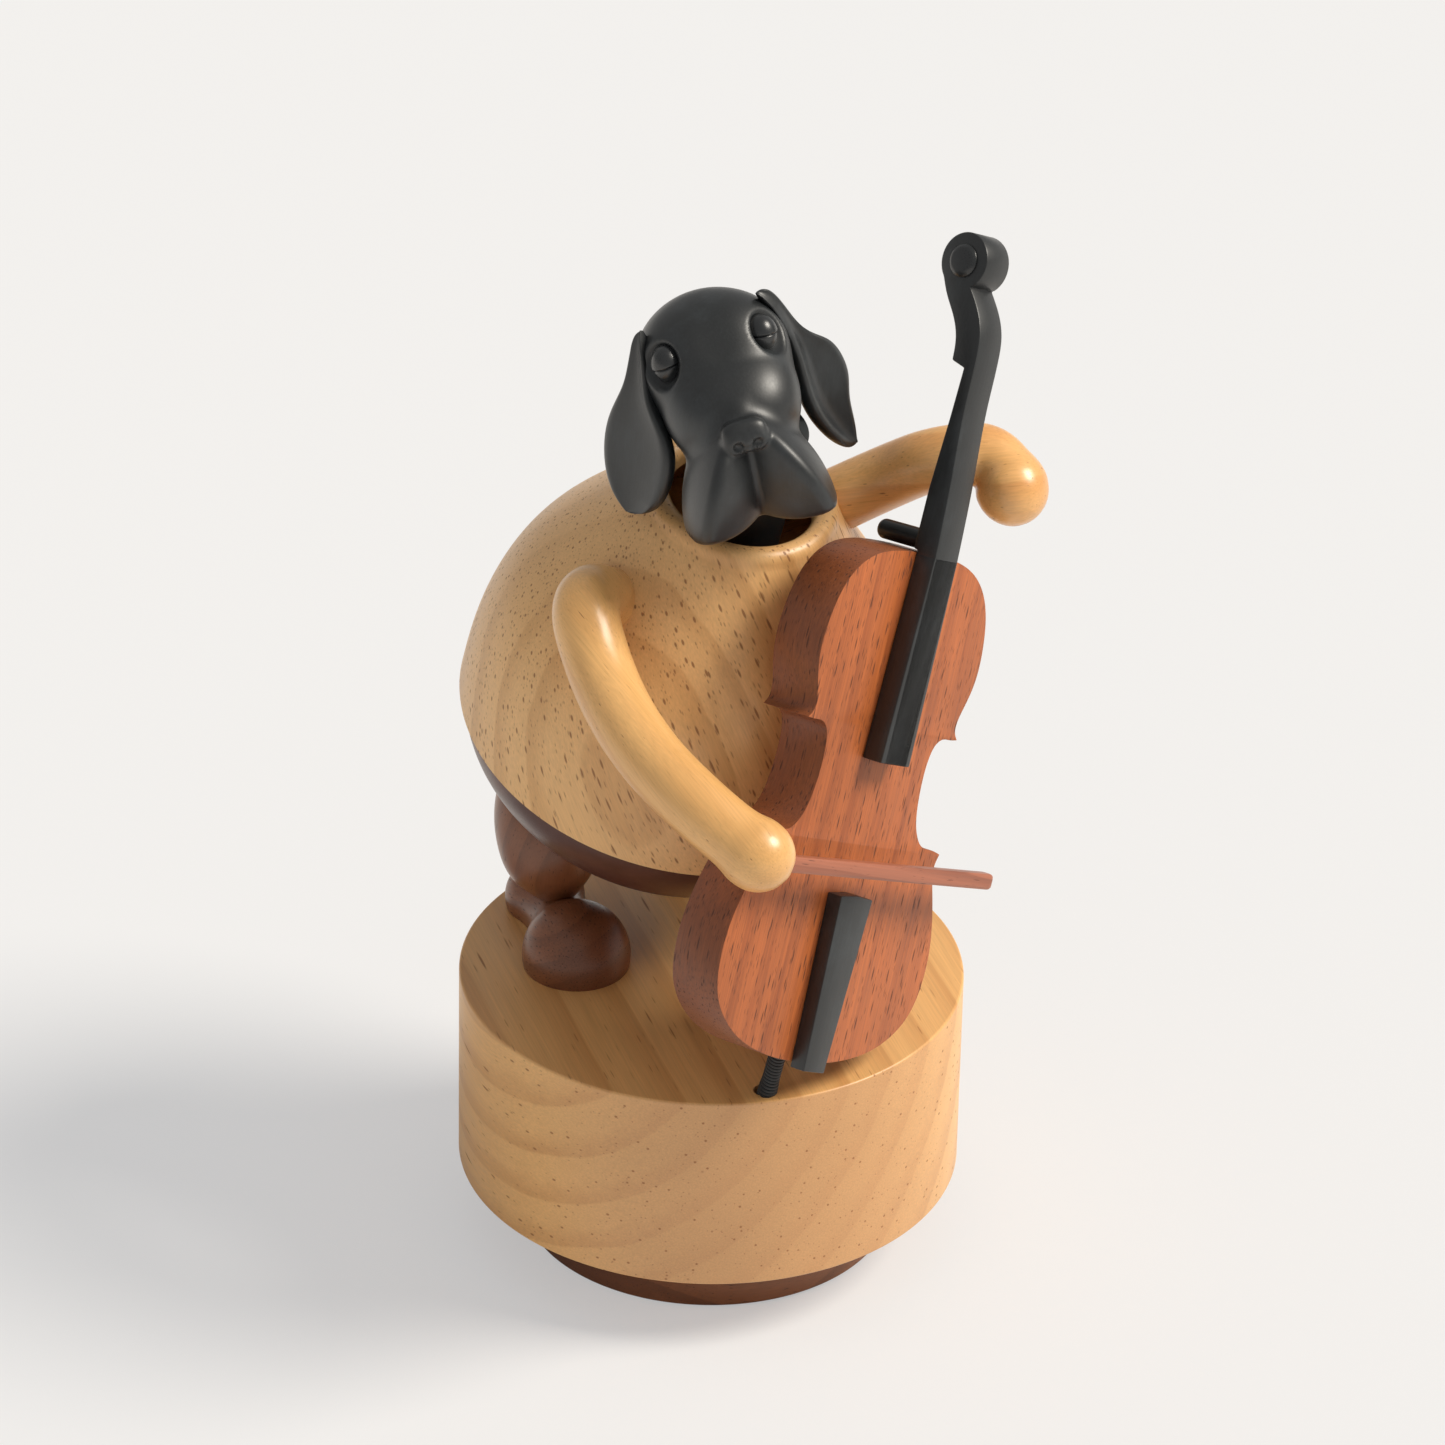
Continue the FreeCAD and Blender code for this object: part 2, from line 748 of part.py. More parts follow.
def cavity_solid(gap):
    pts = [p - V(gap, 0, 0) for p in inner_points()]
    foot = V(0, 0, pts[0].z)
    head = V(0, 0, pts[-1].z)
    return revolve([spline(pts), Part.makeLine(pts[-1], head), Part.makeLine(head, foot),
                    Part.makeLine(foot, pts[0])])


def cap_curve(radius, depth):
    pts = []
    steps = 10
    for n in range(steps + 1):
        a = math.pi / 2 * n / steps
        pts.append(V(radius * math.cos(a) ** (2 / cap_power), 0, -depth * math.sin(a) ** (2 / cap_power)))
    return pts


def cap_block(grow):
    pts = cap_curve(cap_radius + grow, cap_depth + grow)
    top = V(0, 0, 0)
    return revolve([spline(pts), Part.makeLine(pts[-1], top), Part.makeLine(top, pts[0])])


def belly_cap():
    outer = cap_curve(cap_radius, cap_depth)
    inner = cap_curve(body_radius - body_wall - fit - cap_wall, cap_depth - cap_wall)
    wall = body_radius - body_wall - fit
    step = V(wall, 0, 0)
    lip_out = V(wall, 0, spigot_height)
    lip_in = V(wall - cap_wall, 0, spigot_height)
    corners = [inner[0], lip_in, lip_out, step, outer[0]]
    edges = [spline(outer), Part.makeLine(outer[-1], inner[-1]), spline(inner[::-1])]
    cap = revolve(edges + [Part.makeLine(a, b) for a, b in zip(corners, corners[1:])])
    for side in (-1, 1):
        cap = cap.cut(leg_peg(side, fit))
    return cap


def on_body(shares):
    return on_axis(body_length * shares[2], body_radius * shares[0], body_radius * shares[1])


def shoulder(side):
    if side < 0:
        return on_body(right_shoulder_shares), V(*right_arm_way_shares[0]).normalize()
    return on_body(left_shoulder_shares), V(*left_arm_way_shares[0]).normalize()


def shoulder_cut(side, gap):
    place, way = shoulder(side)
    flat = rod(shoulder_radius, shoulder_pin_length * 2, place - way * shoulder_flat, way)
    base = place - way * (shoulder_flat + shoulder_pin_length)
    return flat.fuse(rod(shoulder_pin + gap, shoulder_pin_length, base, way))


def body_shell():
    shell = body_solid()
    for side in (-1, 1):
        shell = shell.cut(shoulder_cut(side, fit))
    return shell.cut(belly_dowel(fit))


def bridge():
    slab = rod(body_radius, bridge_thick, on_axis(bridge_low), axis_way())
    disc = slab.common(cavity_solid(fit))
    return disc.cut(rod(spindle_radius + fit, bridge_high, on_axis(0), axis_way()))


# Legs and feet
def foot_way(side):
    a = math.radians(foot_out_angle)
    return V(side * math.sin(a), -math.cos(a), 0)


def heel_place(side):
    inward = left_foot_in if side > 0 else 0
    front = left_foot_front if side > 0 else 0
    return V(body_x + side * (heel_x - inward), heel_y - front, drum_top + foot_axis_rise)


def foot_body(side):
    heel, toe, curve = heel_radius, toe_radius, foot_waist_curve
    u = (toe_along ** 2 + (curve + heel) ** 2 - (curve + toe) ** 2) / (2 * toe_along)
    h = math.sqrt((curve + heel) ** 2 - u ** 2)
    hub = V(u, 0, h)
    far = V(toe_along, 0, 0)
    low = hub * (heel / (curve + heel))
    high = far + (hub - far) * (toe / (curve + toe))
    back, front = V(-heel, 0, 0), far + V(toe, 0, 0)
    edges = [arc_about(V(0, 0, 0), heel, back, low), arc_about(hub, curve, low, high),
             arc_about(far, toe, high, front), Part.makeLine(front, back)]
    pin = Part.Face(Part.Wire(edges)).revolve(V(0, 0, 0), V(1, 0, 0), 360)
    turn = math.degrees(math.atan2(foot_way(side).y, foot_way(side).x))
    pin.Placement = FreeCAD.Placement(heel_place(side), FreeCAD.Rotation(V(0, 0, 1), turn))
    under = block(V(-drum_radius, -drum_radius, drum_top - toe_radius), V(drum_radius, drum_radius, drum_top))
    flat = rod(ankle_radius + fit, toe_radius, ankle(side))
    return pin.cut(under).cut(flat).cut(leg_dowel(side, fit)).cut(calf_solid(side, fit))


def arc_about(center, radius, start, end):
    way = (start - center).normalize() + (end - center).normalize()
    return Part.Arc(start, center + way.normalize() * radius, end).toShape()


def ankle(side):
    place = heel_place(side) + foot_way(side) * ankle_along
    return V(place.x, place.y, ankle_z)


def leg_dowel(side, gap):
    base = ankle(side) - V(0, 0, ankle_z - drum_top + leg_dowel_deep)
    return rod(leg_dowel_radius + gap, ankle_z - drum_top + leg_dowel_deep, base)


def leg_peg(side, gap):
    base = V(ankle(side).x, ankle(side).y + leg_peg_back, drum_top + leg_peg_rise)
    return rod(leg_dowel_radius + gap, leg_peg_length, base)


def calf_solid(side, grow):
    pts = [V(calf_radius * w + grow, 0, calf_rise * h) for w, h in calf_shares]
    pts[0] = V(ankle_radius + grow, 0, 0)
    top, foot = V(0, 0, pts[-1].z), V(0, 0, 0)
    face = Part.Face(Part.Wire([spline(pts), Part.makeLine(pts[-1], top), Part.makeLine(top, foot),
                                Part.makeLine(foot, pts[0])]))
    calf = face.revolve(V(0, 0, 0), V(0, 0, 1), 360)
    calf.rotate(V(0, 0, 0), V(1, 0, 0), -calf_lean_angle)
    calf.translate(ankle(side))
    return calf.cut(rod(calf_radius, calf_rise, ankle(side) - V(0, 0, calf_rise)))


def leg(side):
    calf = calf_solid(side, 0).cut(cap_block(skim))
    return fuse_all([calf, leg_dowel(side, 0), leg_peg(side, 0)])


# Neck and head
def yoke():
    way = axis_way()
    spindle = rod(spindle_radius, bridge_thick + yoke_base, on_axis(bridge_low - yoke_base / 2), way)
    base = rod(yoke_radius, yoke_base, on_axis(bridge_high + fit), way)
    cheeks = []
    for side in (-1, 1):
        mid = side * (tongue_thick / 2 + fit * 2 + yoke_cheek / 2)
        cheek = block(V(mid - yoke_cheek / 2, -yoke_cheek, bridge_high + fit),
                      V(mid + yoke_cheek / 2, yoke_cheek, yoke_pin_s + yoke_cheek))
        cheek.Placement = lean_frame()
        cheeks.append(cheek)
    body = fuse_all([spindle, base] + cheeks)
    return body.cut(yoke_pin(0))


def yoke_pin(gap):
    half = tongue_thick / 2 + yoke_cheek + skim
    return rod(yoke_pin_radius + gap, half * 2, on_axis(yoke_pin_s, -half), V(1, 0, 0))


def neck_column():
    way = axis_way()
    column = rod(neck_radius, neck_high - neck_low, on_axis(neck_low), way)
    low = yoke_pin_s - yoke_cheek
    tongue = block(V(-tongue_thick / 2, -yoke_cheek, low), V(tongue_thick / 2, yoke_cheek, neck_low + fit))
    tongue.Placement = lean_frame()
    neck = column.fuse(tongue).removeSplitter().cut(yoke_pin(fit))
    return neck.cut(skull()).cut(throat()).cut(snout())


def head_frame():
    yaw = FreeCAD.Rotation(V(0, 0, 1), head_yaw_angle)
    roll = FreeCAD.Rotation(V(0, 1, 0), -head_roll_angle)
    return FreeCAD.Placement(on_axis(body_length + head_rise, head_side, head_back), yaw.multiply(roll))


def ellipsoid(center, radii, turns=()):
    ball = Part.makeSphere(1)
    grow = FreeCAD.Matrix()
    grow.scale(*radii)
    shape = ball.transformGeometry(grow)
    for axis, angle in turns:
        shape.rotate(V(0, 0, 0), axis, angle)
    shape.translate(center)
    shape.Placement = head_frame().multiply(shape.Placement)
    return shape


def skull():
    return ellipsoid(V(0, skull_back, -skull_drop), (skull_side, skull_deep, skull_tall))


def snout():
    turns = ((V(1, 0, 0), snout_angle),)
    return ellipsoid(V(0, -snout_front, -snout_drop), (snout_side, snout_long, snout_tall), turns)


def flew(side):
    place = V(side * flew_side + flew_shift, -flew_front, -flew_drop)
    turns = ((V(1, 0, 0), flew_angle), (V(0, 0, 1), side * flew_splay_angle))
    return ellipsoid(place, (flew_wide, flew_long, flew_thick), turns)


def throat():
    return ellipsoid(V(*throat_place), (throat_radius, throat_radius, throat_tall))


def nose():
    return ellipsoid(V(0, -nose_front, -nose_drop), (nose_side, nose_deep, nose_deep))


def eye_place(side):
    return V(side * eye_half, -eye_front, eye_rise)


def head_carving():
    head = fuse_all([skull(), snout(), throat(), flew(-1), flew(1), nose()])
    for side in (-1, 1):
        head = head.cut(eye_ball(side, eye_fit))
    return head


def eye_ball(side, gap):
    ball = Part.makeSphere(eye_radius + gap, eye_place(side))
    ball.Placement = head_frame().multiply(ball.Placement)
    return ball


def eyes():
    return Part.makeCompound([eye_ball(side, 0) for side in (-1, 1)])


def ear_frame(side):
    top = V(*(right_ear_top if side < 0 else left_ear_top))
    tip = V(*(right_ear_tip if side < 0 else left_ear_tip))
    angle = math.radians(right_ear_angle if side < 0 else left_ear_angle)
    along = (top - tip).normalize()
    across = V(math.cos(angle), math.sin(angle), 0)
    across = (across - along * across.dot(along)).normalize()
    turn = FreeCAD.Rotation(across, along.cross(across), along, "XZY")
    place = FreeCAD.Placement((top + tip) * 0.5, turn)
    return head_frame().multiply(place), (top - tip).Length / 2


def ear(side):
    place, half = ear_frame(side)
    shares = right_ear_shares if side < 0 else left_ear_shares
    sections = []
    for depth, inset in ((-ear_thick / 2, ear_edge), (0, 0), (ear_thick / 2, ear_edge)):
        points = [V((ear_wide - inset) * u, depth, (half - inset) * v) for u, v in shares]
        curve = Part.BSplineCurve()
        curve.interpolate(points, PeriodicFlag=True)
        sections.append(Part.Wire(curve.toShape()))
    blade = Part.makeLoft(sections, True, False)
    blade.Placement = place
    return blade.cut(skull()).cut(snout())


# Arms and bow
def bent_rod(points, ways, radius, end_radius):
    edges = [Part.makeLine(points[0], points[1])]
    ways = [V(*w).normalize() for w in ways]
    for n in range(1, len(points) - 1):
        edges += biarc(points[n], ways[n - 1], points[n + 1], ways[n])
    circle = Part.Wire(Part.Circle(points[0], ways[0], radius).toShape())
    tube = Part.Wire(edges).makePipeShell([circle], True, False)
    return tube.fuse(Part.makeSphere(end_radius, points[-1]))


def arm_points(side):
    place, way = shoulder(side)
    start = place - way * shoulder_flat
    if side < 0:
        elbow = on_body(right_elbow_shares)
        hand = to_world(V(-bow_reach_right, -bow_front, bow_along) + V(*right_hand_shift))
    else:
        neck = V(0, 0, cello_length)
        elbow = to_world(neck + V(*left_elbow_shift))
        hand = to_world(neck + V(*left_hand_shift))
    return [start, start + way * arm_straight, elbow, hand]


def arm_right():
    arm = bent_rod(arm_points(-1), right_arm_way_shares, right_arm_radius, hand_radius)
    return fuse_all([arm, shoulder_peg(-1)]).cut(bow(fit))


def arm_left():
    arm = bent_rod(arm_points(1), left_arm_way_shares, left_arm_radius, hand_radius)
    return fuse_all([arm, shoulder_peg(1)])


def shoulder_peg(side):
    place, way = shoulder(side)
    length = shoulder_pin_length - skim
    return rod(shoulder_pin, length + right_arm_radius / 2, place - way * (shoulder_flat + length), way)


def bow(gap):
    half = bow_height / 2 + gap
    deep = bow_thick / 2 + gap
    stick = block(V(-bow_reach_right - gap, -deep, -half), V(bow_reach_left, deep, half))
    if gap == 0:
        edges = [e for e in stick.Edges if e.BoundBox.XLength > bow_reach_left]
        stick = stick.makeFillet(bow_height * 0.16, edges)
    stick.rotate(V(0, 0, 0), V(0, 1, 0), bow_angle)
    stick.translate(V(0, -bow_front, bow_along))
    return to_cello(stick)


# Cello
def cello_frame():
    turn = FreeCAD.Rotation(V(0, 0, 1), cello_turn_angle)
    tip = FreeCAD.Rotation(V(1, 0, 0), cello_tip_angle)
    roll = FreeCAD.Rotation(V(0, 1, 0), cello_roll_angle)
    origin = V(body_x - cello_side, seam_y - body_radius - cello_front, drum_top + cello_rise)
    return FreeCAD.Placement(origin, turn.multiply(tip).multiply(roll))


def to_cello(shape):
    shape.Placement = cello_frame().multiply(shape.Placement)
    return shape


def cello_plate():
    edges = []
    for table in (lower_bout_shares, waist_shares, upper_bout_shares):
        edges.append(spline([V(cello_half * x, 0, cello_length * z) for x, z in table]))
    for table in (upper_bout_shares, waist_shares, lower_bout_shares):
        edges.append(spline([V(-cello_half * x, 0, cello_length * z) for x, z in table[::-1]]))
    plate = Part.Face(Part.Wire(edges)).extrude(V(0, cello_thick, 0))
    return to_cello(plate).cut(spring_bore()).cut(belly_dowel(fit))


def neck_points(shares):
    return [V(-neck_width / 2, -board_rise * h, cello_length + neck_length * v) for v, h in shares]


def neck_bar():
    front, back, under = (neck_points(t) for t in (neck_front_shares, neck_back_shares, neck_under_shares))
    low = V(-neck_width / 2, 0, board_low)
    seat = V(low.x, -fit, under[-1].z)
    corners = [back[-1]] + under + [seat, low - V(0, fit, 0), low - V(0, board_rise, 0), front[0]]
    edges = [spline(front), Part.makeLine(front[-1], back[0]), spline(back)]
    edges += [Part.makeLine(a, b) for a, b in zip(corners, corners[1:])]
    return Part.Face(Part.Wire(edges)).extrude(V(neck_width, 0, 0))


def fingerboard():
    low, high = board_width_low / 2, neck_width / 2
    pts = [V(-low, -fit, board_low), V(low, -fit, board_low), V(high, -fit, cello_length),
           V(-high, -fit, cello_length)]
    return Part.Face(Part.makePolygon(pts + pts[:1])).extrude(V(0, fit - board_rise, 0))


def cello_neck():
    scroll = rod(scroll_radius, neck_width, V(-neck_width / 2, scroll_back, scroll_along), V(1, 0, 0))
    heel = rod(bass_heel_radius, heel_end - bass_heel_radius, V(0, 0, heel_along), V(0, 1, 0))
    tip = Part.makeSphere(bass_heel_radius, V(0, heel_end - bass_heel_radius, heel_along))
    return to_cello(fuse_all([neck_bar(), fingerboard(), scroll, heel, tip]))


def scroll_button(side):
    radius = (scroll_button_radius ** 2 + scroll_button_rise ** 2) / (2 * scroll_button_rise)
    base = V(side * neck_width / 2, scroll_back, scroll_along)
    way = V(side, 0, 0)
    ball = Part.makeSphere(radius, base + way * (scroll_button_rise - radius))
    return to_cello(ball.common(rod(neck_width, scroll_button_rise, base, way)))


def scroll_buttons():
    return Part.makeCompound([scroll_button(side) for side in (-1, 1)])


def tailpiece():
    low, high = tail_width_low / 2, tail_width_high / 2
    pts = [V(-low, 0, tail_low), V(-high, 0, tail_high), V(0, 0, tail_high + tail_point),
           V(high, 0, tail_high), V(low, 0, tail_low)]
    plate = Part.Face(Part.makePolygon(pts + pts[:1])).extrude(V(0, -tail_rise, 0))
    plate.translate(V(tail_shift, 0, 0))
    return to_cello(plate)


def belly_dowel(gap):
    start = to_world(V(belly_dowel_side, cello_thick / 2, belly_dowel_along))
    way = cello_frame().Rotation.multVec(V(0, 1, 0))
    return rod(belly_dowel_radius + gap, cello_thick / 2 + belly_dowel_reach, start, way)


def to_world(point):
    return cello_frame().multVec(point)


def biarc(p0, t0, p1, t1):
    v = p1 - p0
    t = t0 + t1
    k = 2 * (1 - t0.dot(t1))
    d = (-v.dot(t) + math.sqrt(v.dot(t) ** 2 + k * v.dot(v))) / k
    c0 = p0 + t0 * d
    c1 = p1 - t1 * d
    joint = (c0 + c1) * 0.5
    edges = []
    for a, c, b in ((p0, c0, joint), (joint, c1, p1)):
        w = (b - a).Length / (2 * d)
        mid = (a + b + c * (2 * w)) * (1 / (2 + 2 * w))
        edges.append(Part.Arc(a, mid, b).toShape())
    return edges


# Endpin
def spring_ends():
    low = V(pin_hole_x, pin_hole_y, drum_top - pin_hole_depth)
    return low, to_world(V(0, cello_thick / 2, coil_grip))


def spring_bore():
    low, high = spring_ends()
    length = (high - low).Length + wire_radius * 4
    way = (high - low).normalize()
    return rod(coil_radius + wire_radius * 2, length, low - way * (wire_radius * 2), way)


def coil_point(turn, rise):
    a = 2 * math.pi * turn
    return V(coil_radius * math.cos(a), coil_radius * math.sin(a), rise * turn)


def coil_way(turn, rise):
    a = 2 * math.pi * turn
    round_way = V(-coil_radius * math.sin(a), coil_radius * math.cos(a), 0)
    return (round_way + V(0, 0, rise / (2 * math.pi))).normalize()


def least_gap(rise):
    steps = 24
    line = [coil_point(n / steps, rise) for n in range(coil_turns * steps + 1)]
    apart = [(b - a).Length for n, a in enumerate(line) for b in line[n + steps // 2:]]
    return min(apart) - wire_radius * 2


def endpin_spring():
    low, high = spring_ends()
    rise = (high - low).Length / coil_turns
    print("least gap between the spring's turns", round(least_gap(rise), 2))
    edges = []
    for n in range(coil_turns * 2):
        a, b = n / 2, (n + 1) / 2
        edges += biarc(coil_point(a, rise), coil_way(a, rise), coil_point(b, rise), coil_way(b, rise))
    circle = Part.Circle(coil_point(0, rise), coil_way(0, rise), wire_radius).toShape()
    tube = Part.Wire(edges).makePipeShell([Part.Wire(circle)], True, False)
    tube.Placement = FreeCAD.Placement(low, FreeCAD.Rotation(V(0, 0, 1), high - low))
    return tube


PIECES = {
    "foot_pad": foot_pad, "foot_disc": foot_disc, "winding_arbor": winding_arbor,
    "flange_screws": flange_screws, "crown_wheel": crown_wheel, "crown_nut": crown_nut,
    "drum_body": drum_body, "bottom_plate": bottom_plate, "plate_screws": plate_screws,
    "movement_screws": movement_screws, "bedplate": bedplate, "spring_cover": spring_cover,
    "mainspring": mainspring, "bearing_posts": bearing_posts, "comb_base": comb_base, "comb": comb,
    "comb_screws": comb_screws, "governor_frame": governor_frame, "tune_shaft": tune_shaft,
    "tune_pinion": tune_pinion, "tune_cylinder": tune_cylinder, "drive_wheel": drive_wheel,
    "gov_shaft": gov_shaft, "gov_pinion": gov_pinion, "worm_wheel": worm_wheel,
    "worm_shaft": worm_shaft, "worm_screw": worm_screw, "fan": fan, "body_shell": body_shell,
    "belly_cap": belly_cap, "neck_bridge": bridge, "foot_right": lambda: foot_body(-1),
    "foot_left": lambda: foot_body(1), "leg_right": lambda: leg(-1), "leg_left": lambda: leg(1),
    "yoke": yoke, "yoke_pin": lambda: yoke_pin(0), "neck_column": neck_column,
    "head_carving": head_carving, "eyes": eyes, "ear_right": lambda: ear(-1), "ear_left": lambda: ear(1),
    "arm_right": arm_right, "bow": lambda: bow(0), "arm_left": arm_left, "cello_plate": cello_plate,
    "cello_neck": cello_neck, "scroll_buttons": scroll_buttons, "tailpiece": tailpiece,
    "cello_dowel": lambda: belly_dowel(0), "endpin_spring": endpin_spring,
}

for name, make in PIECES.items():
    save(make(), name)
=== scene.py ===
import json
import math

import bmesh
import bpy
import numpy as np
from mathutils import Matrix, Vector


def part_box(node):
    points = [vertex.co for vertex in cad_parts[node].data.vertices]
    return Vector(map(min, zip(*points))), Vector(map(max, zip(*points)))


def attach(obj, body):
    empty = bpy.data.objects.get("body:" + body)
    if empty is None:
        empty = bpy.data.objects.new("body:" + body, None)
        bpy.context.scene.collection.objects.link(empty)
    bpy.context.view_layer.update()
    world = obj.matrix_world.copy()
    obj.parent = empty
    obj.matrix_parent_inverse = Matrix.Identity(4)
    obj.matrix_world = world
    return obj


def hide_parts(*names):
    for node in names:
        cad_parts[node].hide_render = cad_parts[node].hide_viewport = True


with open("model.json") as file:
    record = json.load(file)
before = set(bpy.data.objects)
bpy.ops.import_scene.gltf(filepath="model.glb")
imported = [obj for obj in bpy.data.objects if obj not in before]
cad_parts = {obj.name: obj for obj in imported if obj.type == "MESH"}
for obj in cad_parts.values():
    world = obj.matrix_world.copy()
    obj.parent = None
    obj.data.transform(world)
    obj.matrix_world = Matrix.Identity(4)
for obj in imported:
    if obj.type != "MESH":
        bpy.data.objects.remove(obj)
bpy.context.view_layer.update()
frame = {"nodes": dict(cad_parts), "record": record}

bl_info = {
    "name": "Turning music box with a carved hound",
    "version": (1, 0, 0),
    "blender": (4, 5, 0),
    "location": "3D View > Sidebar > Music box",
    "description": "Dresses the packed music box: turned woods, the carved figure, its cello "
                   "and a pale studio",
    "category": "Add Mesh",
}

MM = 0.001
GRAIN_UP = Vector((0, 0, 1))
CREASE = 35.0
PIN_FOOT = (-17.6, -37.3)


def placed(origin, *turns):
    """A matrix that moves to origin and then turns about each named axis, by degrees."""
    place = Matrix.Translation(origin)
    for axis, degrees in turns:
        place = place @ Matrix.Rotation(math.radians(degrees), 4, axis)
    return place


BODY_PLACE = placed((5.1, 17.1, 93.1), ("X", 17.6))
CELLO_PLACE = placed((-17.61, -47.04, 61.72), ("Z", 9.79), ("X", -7.70), ("Y", 27.73))
HEAD_PLACE = placed((-2.9, -0.6, 175.9), ("Z", -26.0), ("Y", -12.2))
DRUM_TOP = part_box("drum_body")[1].z / MM


# Nodes
class Wire:
    """A node's output. Sums that use it add Math nodes."""

    def __init__(self, tree, socket):
        self.tree = tree
        self.socket = socket

    def maths(self, operation, *values):
        return self.tree.node("ShaderNodeMath", {"operation": operation}, dict(enumerate(values)))

    def __add__(self, other):
        return self.maths("ADD", self, other)

    def __sub__(self, other):
        return self.maths("SUBTRACT", self, other)

    def __rsub__(self, other):
        return self.maths("SUBTRACT", other, self)

    def __mul__(self, other):
        return self.maths("MULTIPLY", self, other)

    def __truediv__(self, other):
        return self.maths("DIVIDE", self, other)

    def __pow__(self, other):
        return self.maths("POWER", self, other)

    def __abs__(self):
        return self.maths("ABSOLUTE", self)

    __radd__ = __add__
    __rmul__ = __mul__

    def of(self, output):
        """Another output of the same node."""
        return Wire(self.tree, self.socket.node.outputs[output])

    def step(self, low, high):
        """0 below low, 1 above high, and a smooth rise between them."""
        settings = {"interpolation_type": "SMOOTHSTEP"}
        return self.tree.node("ShaderNodeMapRange", settings, {0: self, 1: low, 2: high})


class Tree:
    """Adds nodes to a material or to a Geometry Nodes group."""

    def __init__(self, tree):
        self.tree = tree

    def node(self, kind, settings=None, values=None, output=0):
        """One node. Settings come first, then its sockets by name or number, each a value or a Wire."""
        node = self.tree.nodes.new(kind)
        for name, value in (settings or {}).items():
            setattr(node, name, value)
        for name, value in (values or {}).items():
            if isinstance(value, Wire):
                self.tree.links.new(value.socket, node.inputs[name])
            else:
                node.inputs[name].default_value = value
        return Wire(self, node.outputs[output]) if node.outputs else None


def tone(red, green, blue):
    """A colour as it looks on a screen, 0 to 255, in the linear values that a shader takes."""
    linear = []
    for part in (red, green, blue):
        share = part / 255
        linear.append(share / 12.92 if share < 0.04045 else ((share + 0.055) / 1.055) ** 2.4)
    return (*linear, 1.0)


class Finish(Tree):
    """A material around the Principled shader, with patterns in millimetres."""

    def __init__(self, name, roughness=0.5, coat=0.0, coat_roughness=0.3, metallic=0.0):
        self.material = bpy.data.materials.new(name)
        self.material.use_nodes = True
        super().__init__(self.material.node_tree)
        self.shader = self.tree.nodes["Principled BSDF"]
        for socket, value in (("Roughness", roughness), ("Coat Weight", coat),
                              ("Coat Roughness", coat_roughness), ("Metallic", metallic)):
            self.shader.inputs[socket].default_value = value

    def feed(self, socket, wire):
        self.tree.links.new(wire.socket, self.shader.inputs[socket])

    def along(self, way, shift=(0, 0, 0)):
        """Object coordinates in millimetres, turned so that way points up, and moved by shift."""
        turn = Vector(way).rotation_difference(GRAIN_UP).to_euler()
        coords = self.node("ShaderNodeTexCoord", output="Object")
        values = {"Vector": coords, "Location": shift, "Rotation": turn, "Scale": (1 / MM,) * 3}
        return self.node("ShaderNodeMapping", None, values)

    def stretched(self, vector, across, along):
        values = {0: vector, 1: (across, across, along)}
        return self.node("ShaderNodeVectorMath", {"operation": "MULTIPLY"}, values)

    def noise(self, vector, scale=1.0, detail=2.0, roughness=0.5):
        return self.node("ShaderNodeTexNoise", None,
                         {"Vector": vector, "Scale": scale, "Detail": detail, "Roughness": roughness})

    def blend(self, share, first, second, kind="MIX"):
        settings = {"data_type": "RGBA", "blend_type": kind}
        return self.node("ShaderNodeMix", settings, {0: share, 6: first, 7: second}, 2)

    def shade(self, colour, value):
        return self.node("ShaderNodeVectorMath", {"operation": "SCALE"}, {0: colour, "Scale": value})

    def facing(self, way):
        """How far the surface looks along way, forwards or backwards."""
        normal = self.node("ShaderNodeTexCoord", output="Normal")
        values = {0: normal, 1: way}
        return abs(self.node("ShaderNodeVectorMath", {"operation": "DOT_PRODUCT"}, values, "Value"))

    def bump(self, height, strength, depth):
        values = {"Height": height, "Strength": strength, "Distance": depth * MM}
        self.feed("Normal", self.node("ShaderNodeBump", None, values))


def pores(finish, vector, size, length, gap, share):
    """Dark dashes along the grain, one to a cell of the pattern, in that share of the cells."""
    pitch = length * 1.5
    cells = finish.stretched(vector, 1 / gap, 1 / pitch)
    spot = finish.node("ShaderNodeTexVoronoi", None, {"Vector": cells, "Scale": 1.0})
    kept = finish.node("ShaderNodeSeparateColor", None, {0: spot.of("Color")}).step(1 - share, 1.05 - share)
    away = finish.node("ShaderNodeVectorMath", {"operation": "SUBTRACT"}, {0: cells, 1: spot.of("Position")})
    away = finish.stretched(away, 2 * gap / size, 2 * pitch / length)
    reach = finish.node("ShaderNodeVectorMath", {"operation": "LENGTH"}, {0: away}, "Value")
    return (1 - reach.step(0.55, 1.2)) * kept


def rings(finish, vector, gap, wander):
    """Growth rings about the pith, which is the pattern's own upright axis: a slow rise, then a dark edge."""
    parts = finish.node("ShaderNodeSeparateXYZ", None, {0: vector})
    x, y = parts, parts.of("Y")
    drift = finish.noise(finish.stretched(vector, *RING_DRIFT), detail=3.0)
    radius = (x * x + y * y) ** 0.5 + (drift - 0.5) * wander
    turns = radius / gap
    phase = turns.maths("FRACT", turns)
    return phase.step(0.35, 0.93) * (1 - phase.step(0.93, 1.0))


# How finely each pattern runs, across the grain and along it
RING_DRIFT, FIBRE, STREAK, CLOUD = (0.03, 0.008), (3.2, 0.07), (0.5, 0.02), (0.06, 0.03)
# The small pores beside the large ones, as shares of their width, length and gap
SMALL_PORE = (0.6, 0.5, 0.55)
PORE_DARK, END_DARK = 0.8, 0.75


